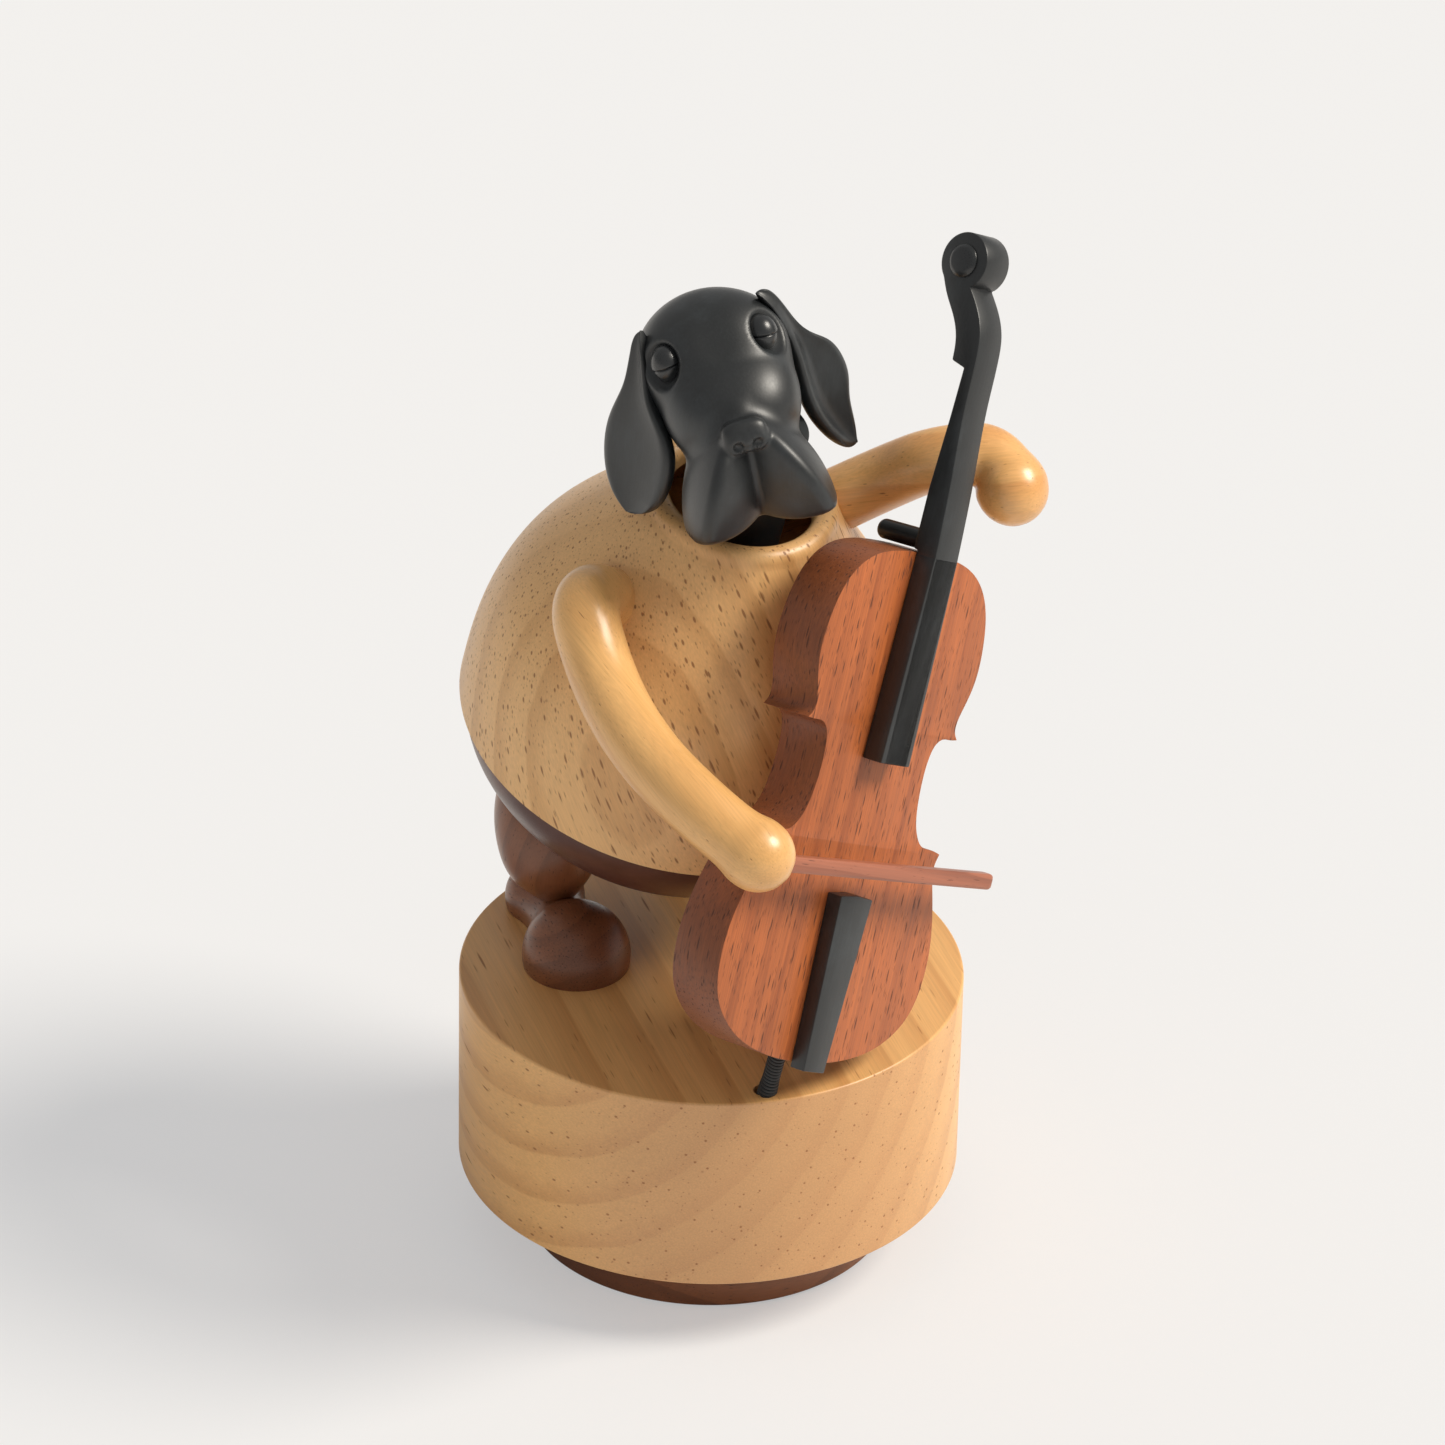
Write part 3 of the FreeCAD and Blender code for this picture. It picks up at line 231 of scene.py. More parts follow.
def wood(name, light, dark, pore, end, way, shift=(0, 0, 0), ring_gap=7.0, ring_wander=9.0, ring_share=0.5,
         streak_share=0.5, pore_size=0.3, pore_length=3.0, pore_gap=1.1, pore_share=0.5, blotch=0.16,
         grainy=0.4, rough=0.42, coat=0.12, face=None):
    """A turned or sawn wood, its grain along way: rings, fibres, pores, and a duller end grain. A plate sawn
    across its face has dull edges all round."""
    finish = Finish(name, rough, coat)
    vector = finish.along(way, shift)
    ring = rings(finish, vector, ring_gap, ring_wander)
    fibre = finish.noise(finish.stretched(vector, *FIBRE), detail=3.0)
    streak = finish.noise(finish.stretched(vector, *STREAK), detail=2.0)
    cloud = finish.noise(finish.stretched(vector, *CLOUD), detail=3.0)
    large = (pore_size, pore_length, pore_gap)
    dash = pores(finish, vector, *large, pore_share)
    fine = pores(finish, vector, *(size * share for size, share in zip(large, SMALL_PORE)), pore_share)
    if face:
        endgrain = 1 - finish.facing(face).step(0.4, 0.8)
    else:
        endgrain = finish.facing(Vector(way).normalized()).step(0.45, 1.0)
    colour = finish.blend(ring * ring_share + (streak - 0.5) * streak_share, light, dark)
    colour = finish.blend(endgrain * END_DARK, colour, end)
    colour = finish.shade(colour, 1 + (cloud - 0.5) * blotch + (fibre - 0.5) * grainy)
    mark = dash.maths("MAXIMUM", dash, fine * 0.6)
    colour = finish.blend(mark * PORE_DARK, colour, pore)
    finish.feed("Base Color", colour)
    finish.feed("Roughness", (fibre - 0.5) * 0.25 + mark * 0.25 + rough)
    finish.bump((fibre - 0.5) * 0.25 - mark, 0.35, 0.08)
    return finish.material


def smooth_stain(name, colour, rub, way, rough=0.4, coat=0.0, speck=0.35):
    """A dark stain that hides the grain, rubbed paler here and there, with a fine tooth."""
    finish = Finish(name, rough, coat, 0.35)
    vector = finish.along(way)
    cloud = finish.noise(finish.stretched(vector, 0.11, 0.07), detail=4.0, roughness=0.6)
    tooth = finish.noise(vector, 2.6, 3.0, 0.65)
    fibre = finish.noise(finish.stretched(vector, 2.2, 0.12), detail=2.0)
    worn = cloud.step(0.45, 0.8) * 0.6 + (tooth - 0.5) * speck + (fibre - 0.5) * speck
    finish.feed("Base Color", finish.blend(worn, colour, rub))
    finish.feed("Roughness", (cloud - 0.5) * 0.22 + (tooth - 0.5) * 0.2 + rough)
    finish.bump((tooth - 0.5) * 0.6 + (fibre - 0.5) * 0.5, 0.35, 0.07)
    return finish.material


def turned_metal(name, colour, rough=0.32):
    """A machined metal: fine tool lines and a faint tarnish."""
    finish = Finish(name, rough, metallic=1.0)
    vector = finish.along(GRAIN_UP)
    line = finish.noise(finish.stretched(vector, 0.4, 9.0), detail=2.0)
    cloud = finish.noise(vector, 0.16, 4.0)
    finish.feed("Base Color", finish.shade(colour[:3], 0.8 + cloud * 0.4))
    finish.feed("Roughness", rough + (line - 0.5) * 0.3)
    finish.bump(line, 0.12, 0.03)
    return finish.material


def pressed_felt(name, colour):
    finish = Finish(name, 0.95)
    vector = finish.along(GRAIN_UP)
    hair = finish.noise(vector, 5.0, 4.0, 0.7)
    cloud = finish.noise(vector, 0.5, 3.0)
    finish.feed("Base Color", finish.shade(colour[:3], 0.6 + hair * 0.5 + cloud * 0.3))
    finish.bump(hair, 0.6, 0.15)
    return finish.material


# Meshes in millimetres
def flowing(points, steps=8):
    """A natural cubic through the points, closely sampled."""
    p = np.array(points, float)
    t = np.concatenate([[0.0], np.cumsum(np.linalg.norm(np.diff(p, axis=0), axis=1))])
    h = np.diff(t)
    count = len(p)
    lhs = np.eye(count)
    rhs = np.zeros_like(p)
    for n in range(1, count - 1):
        lhs[n, n - 1:n + 2] = h[n - 1], 2 * (h[n - 1] + h[n]), h[n]
        rhs[n] = 6 * ((p[n + 1] - p[n]) / h[n] - (p[n] - p[n - 1]) / h[n - 1])
    bend = np.linalg.solve(lhs, rhs)
    line = [p[0]]
    for n in range(count - 1):
        for s in np.linspace(0, 1, steps + 1)[1:]:
            a, b = (1 - s) * h[n], s * h[n]
            point = (bend[n] * a ** 3 + bend[n + 1] * b ** 3) / (6 * h[n])
            point += (p[n] / h[n] - bend[n] * h[n] / 6) * a + (p[n + 1] / h[n] - bend[n + 1] * h[n] / 6) * b
            line.append(point)
    return np.array(line)


def eased(corners, steps=4):
    """A line through (x, y, ease) corners, each rounded by its own radius."""
    line = []
    last = len(corners) - 1
    for n, (x, y, ease) in enumerate(corners):
        here = Vector((x, y))
        if ease == 0 or n in (0, last):
            line.append(tuple(here))
            continue
        back = (Vector(corners[n - 1][:2]) - here).normalized()
        on = (Vector(corners[n + 1][:2]) - here).normalized()
        half = back.angle(on) / 2
        reach = ease / math.tan(half)
        middle = here + (back + on).normalized() * (ease / math.sin(half))
        start, end = here + back * reach - middle, here + on * reach - middle
        for k in range(steps + 1):
            line.append(tuple(middle + start.slerp(end, k / steps) * ease))
    return line


def turned(profile, segments, closed=False):
    """Points and faces of a line of (radius, height) turned about Z. A closed one joins its ends."""
    points, faces, hoops = [], [], []
    for radius, height in profile:
        first = len(points)
        count = 1 if radius < 1e-6 else segments
        hoops.append((first, count))
        for n in range(count):
            a = 2 * math.pi * n / segments
            points.append((radius * math.cos(a), radius * math.sin(a), height))
    pairs = list(zip(hoops, hoops[1:]))
    if closed:
        pairs.append((hoops[-1], hoops[0]))
    for (a, wide_a), (b, wide_b) in pairs:
        for n in range(segments):
            m = (n + 1) % segments
            loop = [a + n % wide_a, b + n % wide_b, b + m % wide_b, a + m % wide_a]
            faces.append(tuple(dict.fromkeys(loop)))
    return points, [f for f in faces if len(f) > 2]


def linked(name, data):
    """A new object in the scene that holds this mesh or curve."""
    obj = bpy.data.objects.new(name, data)
    bpy.context.scene.collection.objects.link(obj)
    return obj


def smoothed(mesh, crease=CREASE):
    """Smooths all but the edges past the crease angle."""
    mesh.polygons.foreach_set("use_smooth", [True] * len(mesh.polygons))
    mesh.set_sharp_from_angle(angle=math.radians(crease))


def mesh_of(name, work):
    """A new mesh from an edited one."""
    mesh = bpy.data.meshes.new(name)
    work.to_mesh(mesh)
    work.free()
    return mesh


def evaluated_mesh(obj):
    """The object's shape with its modifiers, as a new mesh."""
    bpy.context.view_layer.update()
    return bpy.data.meshes.new_from_object(obj.evaluated_get(bpy.context.evaluated_depsgraph_get()))


def piece(name, points, faces, place=Matrix(), crease=CREASE):
    """A closed mesh object from points in millimetres, faces outwards, sharp only past the crease angle."""
    mesh = bpy.data.meshes.new(name)
    mesh.from_pydata([tuple(p) for p in points], [], [tuple(f) for f in faces])
    obj = linked(name, mesh)
    mesh.transform(Matrix.Scale(MM, 4) @ place)
    tidy(obj, crease)
    return obj


def tidy(obj, crease=CREASE):
    """Merges doubles, turns faces outwards, and smooths all but the sharp edges."""
    work = bmesh.new()
    work.from_mesh(obj.data)
    bmesh.ops.remove_doubles(work, verts=work.verts, dist=1e-6)
    bmesh.ops.recalc_face_normals(work, faces=work.faces)
    work.to_mesh(obj.data)
    work.free()
    smoothed(obj.data, crease)


def finished(obj):
    """Applies the object's modifiers and leaves a plain mesh."""
    mesh = evaluated_mesh(obj)
    obj.modifiers.clear()
    old, obj.data = obj.data, mesh
    if old.users == 0:
        bpy.data.meshes.remove(old)


def softened(obj, width, angle=30.0):
    """Rounds the edges that are sharper than the angle."""
    bevel = obj.modifiers.new("Eased edges", "BEVEL")
    bevel.width = width * MM
    bevel.segments = 2
    bevel.limit_method = "ANGLE"
    bevel.angle_limit = math.radians(angle)
    finished(obj)
    smoothed(obj.data)


def one_skin(obj, grain):
    """Adds a remesh of that grain, which joins all that overlaps."""
    remesh = obj.modifiers.new("One skin", "REMESH")
    remesh.mode = "VOXEL"
    remesh.voxel_size = grain


def filleted(obj, grain):
    """Fills a piece's tight inner bends with a small curve."""
    one_skin(obj, grain * MM)
    smooth = obj.modifiers.new("Sanded", "SMOOTH")
    smooth.factor = 0.6
    smooth.iterations = 16
    finished(obj)
    tidy(obj)


def pierced(obj, cutter):
    """Cuts the second piece out of the first, and takes the second away."""
    cut = obj.modifiers.new("Cut", "BOOLEAN")
    cut.operation = "DIFFERENCE"
    cut.solver = "EXACT"
    cut.object = cutter
    finished(obj)
    bpy.data.objects.remove(cutter)
    tidy(obj)


def joined_up(name, parts):
    """Several pieces of one material as one mesh."""
    work = bmesh.new()
    for part in parts:
        work.from_mesh(part.data)
        bpy.data.objects.remove(part)
    mesh = mesh_of(name, work)
    smoothed(mesh)
    return linked(name, mesh)


def dress(obj, body, slot, material, *nodes):
    """Gives a finished piece its material and body, and hides the CAD nodes that it stands for. The slot is
    not used.
    """
    obj.data.materials.clear()
    obj.data.materials.append(material)
    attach(obj, body)
    if nodes:
        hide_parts(*nodes)


def stacked(rows, count):
    """Faces that join rows of that many points, with a cap at both ends."""
    faces = [tuple(range(count)), tuple(range(rows * count - 1, (rows - 1) * count - 1, -1))]
    for row in range(rows - 1):
        a, b = row * count, (row + 1) * count
        for n in range(count):
            m = (n + 1) % count
            faces.append((a + n, a + m, b + m, b + n))
    return faces


def outlined(outline, low, high, axis):
    """A flat outline of (u, v) pushed from low to high along x or y, with v upwards."""
    count = len(outline)
    points = []
    for depth in (low, high):
        for u, v in outline:
            points.append((depth, u, v) if axis == "X" else (u, depth, v))
    return points, stacked(2, count)


def box_piece(name, low, high):
    corners = [(low[0], low[2]), (high[0], low[2]), (high[0], high[2]), (low[0], high[2])]
    return piece(name, *outlined(corners, low[1], high[1], "Y"))


# Sizes and colours
def length(text, value, about):
    return bpy.props.FloatProperty(name=text, description=about, default=value * MM, unit="LENGTH",
                                   subtype="DISTANCE")


def colour(text, value, about):
    return bpy.props.FloatVectorProperty(name=text, description=about, default=tone(*value), size=4,
                                         subtype="COLOR", min=0, max=1)


class MusicboxBase(bpy.types.PropertyGroup):
    foot_radius: length("Foot radius", 33.3, "Radius of the walnut disc that stands on the table")
    foot_height: length("Foot height", 12.7, "Height of the disc's top over the table")
    drum_radius: length("Drum radius", 45.0, "Outside radius of the turning drum")
    drum_hollow: length("Drum hollow", 37.0, "Radius of the hollow that holds the clockwork")
    edge: length("Edge", 0.5, "Rounding of the drum's edges")
    drum_light: colour("Drum light", (228, 176, 112), "Early wood on the drum's top")
    drum_dark: colour("Drum dark", (190, 130, 72), "Dark edge of the drum's growth rings")
    drum_end: colour("Drum end grain", (200, 150, 104), "End grain on the drum's side")


class MusicboxFigure(bpy.types.PropertyGroup):
    body_radius: length("Body radius", 39.6, "Largest radius of the body")
    body_length: length("Body length", 55.3, "From the belly's seam to the top of the collar")
    collar_outer: length("Collar outside", 17.25, "Outside radius of the collar's rim")
    collar_inner: length("Collar inside", 12.9, "Inside radius of the collar's rim")
    cap_radius: length("Cap radius", 38.5, "Radius of the dark cap under the belly")
    cap_depth: length("Cap depth", 27.3, "How far the cap bulges below its seam")
    arm_right: length("Right arm radius", 6.0, "Radius of the arm that bows")
    arm_left: length("Left arm radius", 5.8, "Radius of the arm behind the cello's neck")
    hand: length("Hand radius", 6.7, "Radius of the rounded hands")
    eye: length("Eye radius", 3.3, "Radius of the domed eyes")
    body_light: colour("Body light", (228, 180, 120), "Pale wood of the body")
    body_dark: colour("Body dark", (198, 146, 88), "Darker streaks of the body")
    black: colour("Black stain", (19, 22, 24), "Stain of the head, neck, fingerboard and tailpiece")
    walnut: colour("Walnut", (132, 80, 50), "Feet, legs and foot disc")
    belly: colour("Belly cap", (78, 42, 32), "Smooth dark stain of the cap")


class MusicboxCello(bpy.types.PropertyGroup):
    length: length("Body length", 90.2, "Length of the cello's body")
    half: length("Half width", 27.95, "Half of its widest bout")
    thick: length("Thickness", 10.4, "Thickness of the plate")
    coil_radius: length("Endpin radius", 1.2, "Radius of the endpin's spring at the middle of its wire")
    coil_wire: length("Endpin wire", 0.36, "Radius of the spring's wire")
    red: colour("Cello light", (176, 96, 48), "Light stripes of the cello's wood")
    brown: colour("Cello dark", (126, 60, 28), "Dark stripes of the cello's wood")


class MusicboxStudio(bpy.types.PropertyGroup):
    floor: colour("Floor", (235, 235, 236), "Colour of the pale floor")
    key: bpy.props.FloatProperty(name="Key light", description="Strength of the warm lamp", default=3.3)
    fill: bpy.props.FloatProperty(name="Fill light", description="Strength of the white room", default=0.42)


# Base
class MUSICBOX_OT_base(bpy.types.Operator):
    """Turn the foot disc and the drum"""
    bl_idname = "musicbox.base"
    bl_label = "Foot and drum"

    def execute(self, context):
        sizes = context.scene.musicbox_base
        edge = sizes.edge / MM
        foot = sizes.foot_radius / MM
        top = sizes.foot_height / MM
        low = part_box("foot_disc")[0].z / MM
        recess, bore, sunk = 9.05, 2.05, 2.2
        rim = eased([(0, low, 0), (foot, low, edge * 0.6), (foot, top, edge), (recess, top, 0)])
        disc = [(0, low), *rim[1:], (recess, top - sunk), (bore, top - sunk), (bore, top / 2), (0, top / 2)]
        walnut = wood("Walnut disc", tone(128, 80, 52), tone(84, 48, 30), tone(52, 28, 18), tone(104, 62, 42),
                      (0.94, -0.34, 0.0), (0, 22, -60), ring_gap=5.0, ring_share=0.5, pore_size=0.16,
                      pore_length=2.6, pore_gap=0.6, rough=0.4)
        dress(piece("foot_disc_turned", *turned(disc, 160)), "foot", "walnut", walnut, "foot_disc")

        radius = sizes.drum_radius / MM
        hollow = sizes.drum_hollow / MM
        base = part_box("drum_body")[0].z / MM
        rebate, plate, roof = 42, 4.0, DRUM_TOP - 5.4
        side = [(0, DRUM_TOP, 0), (radius, DRUM_TOP, edge), (radius, base, edge), (rebate, base, 0)]
        outline = eased(side, 6)
        outline += [(rebate, base + plate), (hollow, base + plate), (hollow, roof), (0, roof)]
        drum = piece("drum_turned", *turned(outline, 192))
        hole, deep = 1.85, 4
        rod = [(0, -deep), (hole, -deep), (hole, deep), (0, deep)]
        pierced(drum, piece("pin_hole", *turned(rod, 40), placed((*PIN_FOOT, DRUM_TOP))))
        timber = wood("Drum wood", sizes.drum_light, sizes.drum_dark, tone(150, 96, 52), sizes.drum_end,
                      (0.345, 0.939, 0.0), (84, 54, 0), ring_gap=8.6, ring_wander=4.0, ring_share=0.45,
                      pore_size=0.5, pore_length=6.5, pore_gap=2.0, pore_share=0.45, rough=0.4, coat=0.15)
        dress(drum, "turntable", "drum_wood", timber, "drum_body")
        return {"FINISHED"}


# Body
BODY_SHARES = ((0.0, 1.0), (0.163, 0.995), (0.325, 0.962), (0.488, 0.884), (0.651, 0.742), (0.814, 0.573),
               (0.9, 0.492))


def cap_line(radius, depth, steps=28, power=1.8):
    """The cap's outline from its seam to its pole, rounder than a part of a ball."""
    line = []
    for n in range(steps + 1):
        a = math.pi / 2 * n / steps
        line.append((radius * math.cos(a) ** (2 / power), -depth * math.sin(a) ** (2 / power)))
    line[-1] = (0.0, -depth)
    return line


class MUSICBOX_OT_body(bpy.types.Operator):
    """Turn the body with its collar, and the cap under it"""
    bl_idname = "musicbox.body"
    bl_label = "Body and cap"

    def execute(self, context):
        sizes = context.scene.musicbox_figure
        radius, tall = sizes.body_radius / MM, sizes.body_length / MM
        rim_out, rim_in = sizes.collar_outer / MM, sizes.collar_inner / MM
        wall, drop = 4.5, 4.0
        lip_low = tall - drop * 0.55
        outer = [(radius * w, tall * s) for s, w in BODY_SHARES] + [(rim_out, lip_low)]
        inner = [(radius * w - wall, tall * s) for s, w in BODY_SHARES[:-1]] + [(rim_in, tall - drop)]
        middle, half = (rim_out + rim_in) / 2, (rim_out - rim_in) / 2
        lip = [(middle + half * math.cos(a), lip_low + half * math.sin(a))
               for a in np.linspace(0, math.pi, 15)[1:]]
        outline = [tuple(p) for p in flowing(outer, 10)][:-1] + lip
        outline += [tuple(p) for p in flowing(inner, 8)[::-1]]
        shell = piece("body_turned", *turned(outline, 192, True), BODY_PLACE)
        timber = wood("Body wood", sizes.body_light, sizes.body_dark, tone(134, 86, 46), tone(218, 170, 112),
                      (-0.27, 0.27, 0.92), (30, 55, 0), ring_gap=9.0, ring_wander=14.0, ring_share=0.55,
                      pore_size=0.5, pore_length=3.4, pore_gap=1.35, pore_share=0.8, rough=0.4, coat=0.15)
        dress(shell, "turntable", "body_wood", timber, "body_shell")

        cap_radius, cap_depth = sizes.cap_radius / MM, sizes.cap_depth / MM
        clear, spigot, skin = 0.05, 4.0, 3.0
        outside = radius - wall - clear
        inside = outside - skin
        line = cap_line(cap_radius, cap_depth)[::-1]
        line += [(outside, 0.0), (outside, spigot), (inside, spigot)] + cap_line(inside, cap_depth - skin)
        cap = piece("belly_cap_turned", *turned(line, 160), BODY_PLACE)
        stain = smooth_stain("Belly stain", sizes.belly, tone(104, 62, 50), (0.3, 1, 0), 0.36, 0.15, 0.18)
        dress(cap, "turntable", "belly_leather", stain, "belly_cap")
        return {"FINISHED"}


# Legs
CALF_RADIUS, CALF_HEIGHT, CALF_LEAN = 9.2, 12.2, -16.8
CAP_SEAT, CAP_SEAT_DEPTH = 38.8, 27.6
CALF_SHARES = ((0.37, 0.0), (0.84, 0.42), (1.0, 1.0), (0.93, 1.5), (0.7, 2.0))
FOOT_OUT = math.radians(21.0)


def foot_line(heel=7.2, toe=9.7, waist=12.0, run=20.4):
    """Half the foot's outline from its heel to its toe: two balls joined by a hollow curve."""
    u = (run ** 2 + (waist + heel) ** 2 - (waist + toe) ** 2) / (2 * run)
    hub = Vector((u, math.sqrt((waist + heel) ** 2 - u ** 2)))
    turn_low = math.atan2(hub.y, hub.x)
    turn_high = math.atan2(hub.y, hub.x - run)
    line = [(heel * math.cos(a), heel * math.sin(a)) for a in np.linspace(math.pi, turn_low, 22)]
    low = Vector(line[-1]) - hub
    high = Vector((run + toe * math.cos(turn_high), toe * math.sin(turn_high))) - hub
    line += [tuple(hub + low.slerp(high, k / 12) * waist) for k in range(1, 13)]
    line += [(run + toe * math.cos(a), toe * math.sin(a)) for a in np.linspace(turn_high, 0, 28)[1:]]
    line[0], line[-1] = (-heel, 0.0), (run + toe, 0.0)
    return line


def foot_way(side):
    """The way that a foot points."""
    return Vector((side * math.sin(FOOT_OUT), -math.cos(FOOT_OUT), 0))


HEELS = {-1: (-11.55, 34.1), 1: (19.25, 30.6)}
HEEL_UP, ANKLE_UP, ANKLE_RUN = 2.2, 7.2, 8.9


def heel_place(side):
    return Vector((*HEELS[side], DRUM_TOP + HEEL_UP))


def ankle_place(side):
    place = heel_place(side) + foot_way(side) * ANKLE_RUN
    return Vector((place.x, place.y, DRUM_TOP + ANKLE_UP))


class MUSICBOX_OT_legs(bpy.types.Operator):
    """Turn the feet and calves"""
    bl_idname = "musicbox.legs"
    bl_label = "Legs and feet"

    def execute(self, context):
        sizes = context.scene.musicbox_figure
        for side, name in ((-1, "right"), (1, "left")):
            way = foot_way(side)
            walnut = (sizes.walnut, tone(90, 50, 30), tone(56, 30, 18), tone(112, 70, 48))
            timber = wood("Walnut " + name, *walnut, (way.x, way.y, 0.25), (5, 14, 0), ring_gap=4.2,
                          ring_wander=6.0, ring_share=0.45, pore_size=0.24, pore_length=1.6, pore_gap=0.6,
                          pore_share=0.6, grainy=0.8, rough=0.38, coat=0.15)
            line = [(y, x) for x, y in foot_line()]
            heading = GRAIN_UP.rotation_difference(way).to_matrix().to_4x4()
            place = Matrix.Translation(heel_place(side)) @ heading
            foot = piece(f"foot_{name}_turned", *turned(line, 96), place)
            pierced(foot, box_piece("under", (-90, -90, DRUM_TOP - 30), (90, 90, DRUM_TOP + 0.02)))
            dress(foot, "turntable", "walnut", timber, "foot_" + name)

            sections = [(CALF_RADIUS * w, CALF_HEIGHT * h) for w, h in CALF_SHARES]
            sections[0] = (3.2, 0.0)
            outline = [(0, 0)] + [tuple(p) for p in flowing(sections, 10)] + [(0, sections[-1][1])]
            calf = piece(f"leg_{name}_turned", *turned(outline, 96),
                         placed(ankle_place(side), ("X", CALF_LEAN)))
            cap = [(0, -CAP_SEAT_DEPTH)] + cap_line(CAP_SEAT, CAP_SEAT_DEPTH)[::-1][1:] + [(0, 0)]
            pierced(calf, piece("cap", *turned(cap, 96), BODY_PLACE))
            upright = wood("Walnut calf " + name, *walnut, (0.1 * side, -0.3, 1), (6, 12, 0), ring_gap=4.2,
                           ring_wander=6.0, ring_share=0.45, pore_size=0.16, pore_length=2.2, pore_gap=0.6,
                           pore_share=0.55, rough=0.34, coat=0.25)
            dress(calf, "turntable", "walnut", upright, "leg_" + name)
        return {"FINISHED"}


# Head
class Egg:
    """A rounded form for carving: its gap is negative inside, and power 2 is an ellipsoid."""

    def __init__(self, middle, radii, turns=(), power=2.0):
        self.middle = np.array(middle, float)
        self.radii = np.array(radii, float)
        self.power = power
        turn = Matrix.Identity(3)
        for axis, degrees in turns:
            turn = Matrix.Rotation(math.radians(degrees), 3, axis) @ turn
        self.turn = np.array(turn)

    def gap(self, points):
        q = np.abs((points - self.middle) @ self.turn) / self.radii + 1e-9
        size = (q ** self.power).sum(1) ** (1 / self.power)
        slope = (q ** (self.power - 1) / self.radii) * size[:, None] ** (1 - self.power)
        return (size - 1) / np.maximum(np.linalg.norm(slope, axis=1), 1e-6)


def melt(first, second, soft):
    """Both forms as one, with a soft joint."""
    share = np.clip(0.5 + 0.5 * (second - first) / soft, 0, 1)
    return second * (1 - share) + first * share - soft * share * (1 - share)


def carve(first, second, soft):
    """The first form with the second cut out of it."""
    return -melt(-first, second, soft)


EYES = {-1: (-8.4, -1.3, 0.2), 1: (8.4, -1.3, 1.05)}


def eye_middle(side):
    return np.array(EYES[side])


class Lobe:
    """A block between faces with eased edges. A face goes through three points, flat or as a ball bulges."""

    def __init__(self, inside, faces):
        self.faces = []
        for corners, ball, ease in faces:
            first, second, third = (np.array(p, float) for p in corners)
            a, b = second - first, third - first
            way = np.cross(a, b)
            size = way @ way
            middle = first + (b @ b * np.cross(way, a) + a @ a * np.cross(b, way)) / (2 * size)
            way = way / math.sqrt(size)
            if (np.array(inside) - first) @ way > 0:
                way = -way
            if ball:
                middle = middle - way * math.sqrt(ball ** 2 - (middle - first) @ (middle - first))
            self.faces.append((middle, way, ball, ease))

    def gap(self, points):
        form = None
        for middle, way, ball, ease in self.faces:
            away = points - middle
            near = np.linalg.norm(away, axis=1) - ball if ball else away @ way
            form = near if form is None else carve(form, -near, ease)
        return form


FLEW_SHIFT = 0.3
FLEW = {"tip": (11.3, -23.7, -23.1), "valley_top": (0.0, -17.6, -10.5), "valley_low": (0.0, -14.4, -25.6),
        "nose": (4.3, -19.6, -7.8), "side": (11.3, -9.0, -18.5), "chin": (6.0, 2.0, -21.5),
        "brow": (0.0, -6.0, 1.0), "bridge": (0.0, -19.4, -5.0), "bridge_side": (6.0, -19.4, -5.0)}


def flew_points(side):
    return {name: np.array((side * x + FLEW_SHIFT, y, z)) for name, (x, y, z) in FLEW.items()}


def flew_wedge(side):
    """One hanging lip: a full front, an outer face that meets it in a soft ridge, a rounded lower edge."""
    at = flew_points(side)
    inner = at["valley_low"] - (side * 5.0, 0, 0)
    back = at["chin"]
    faces = [((at["valley_top"], at["valley_low"], at["tip"]), 26.0, 0.0),
             ((at["nose"], at["tip"], at["side"]), 24.0, 2.2),
             ((at["tip"], at["valley_low"], at["chin"]), 24.0, 1.0),
             ((at["bridge"], at["bridge_side"], at["brow"]), 0.0, 2.6),
             ((inner, inner + (0, 1, 0), inner + (0, 0, 1)), 0.0, 1.0),
             ((back, back + (1, 0, 0), back + (0, 0, 1)), 0.0, 2.0)]
    return Lobe((side * 4.0 + FLEW_SHIFT, -12.0, -17.0), faces)


SKULL = np.array((0, 5.0, -4.0))
EYE_SHARES = (0.85, 0.91, 1.05)
LID_DROOP, LID_LIFT = 0.42, 0.02
SEAM_DEPTH, SEAM_WIDTH = 0.09, 0.05
LOWER_LID = 0.07


def head_blocks():
    """The plain forms that the head is blocked out of."""
    return [Egg(SKULL, (13.2, 11.2, 11.6)),
            Egg((0.6, -2.2, -8.0), (12.0, 13.4, 10.2), (("X", 18),), 2.3),
            Egg((2.0, 2.0, -12.0), (9.0, 9.0, 8.0))]


def eye_way(side):
    """Which way an eye looks out of the skull."""
    out = eye_middle(side) - SKULL
    return out / np.linalg.norm(out)


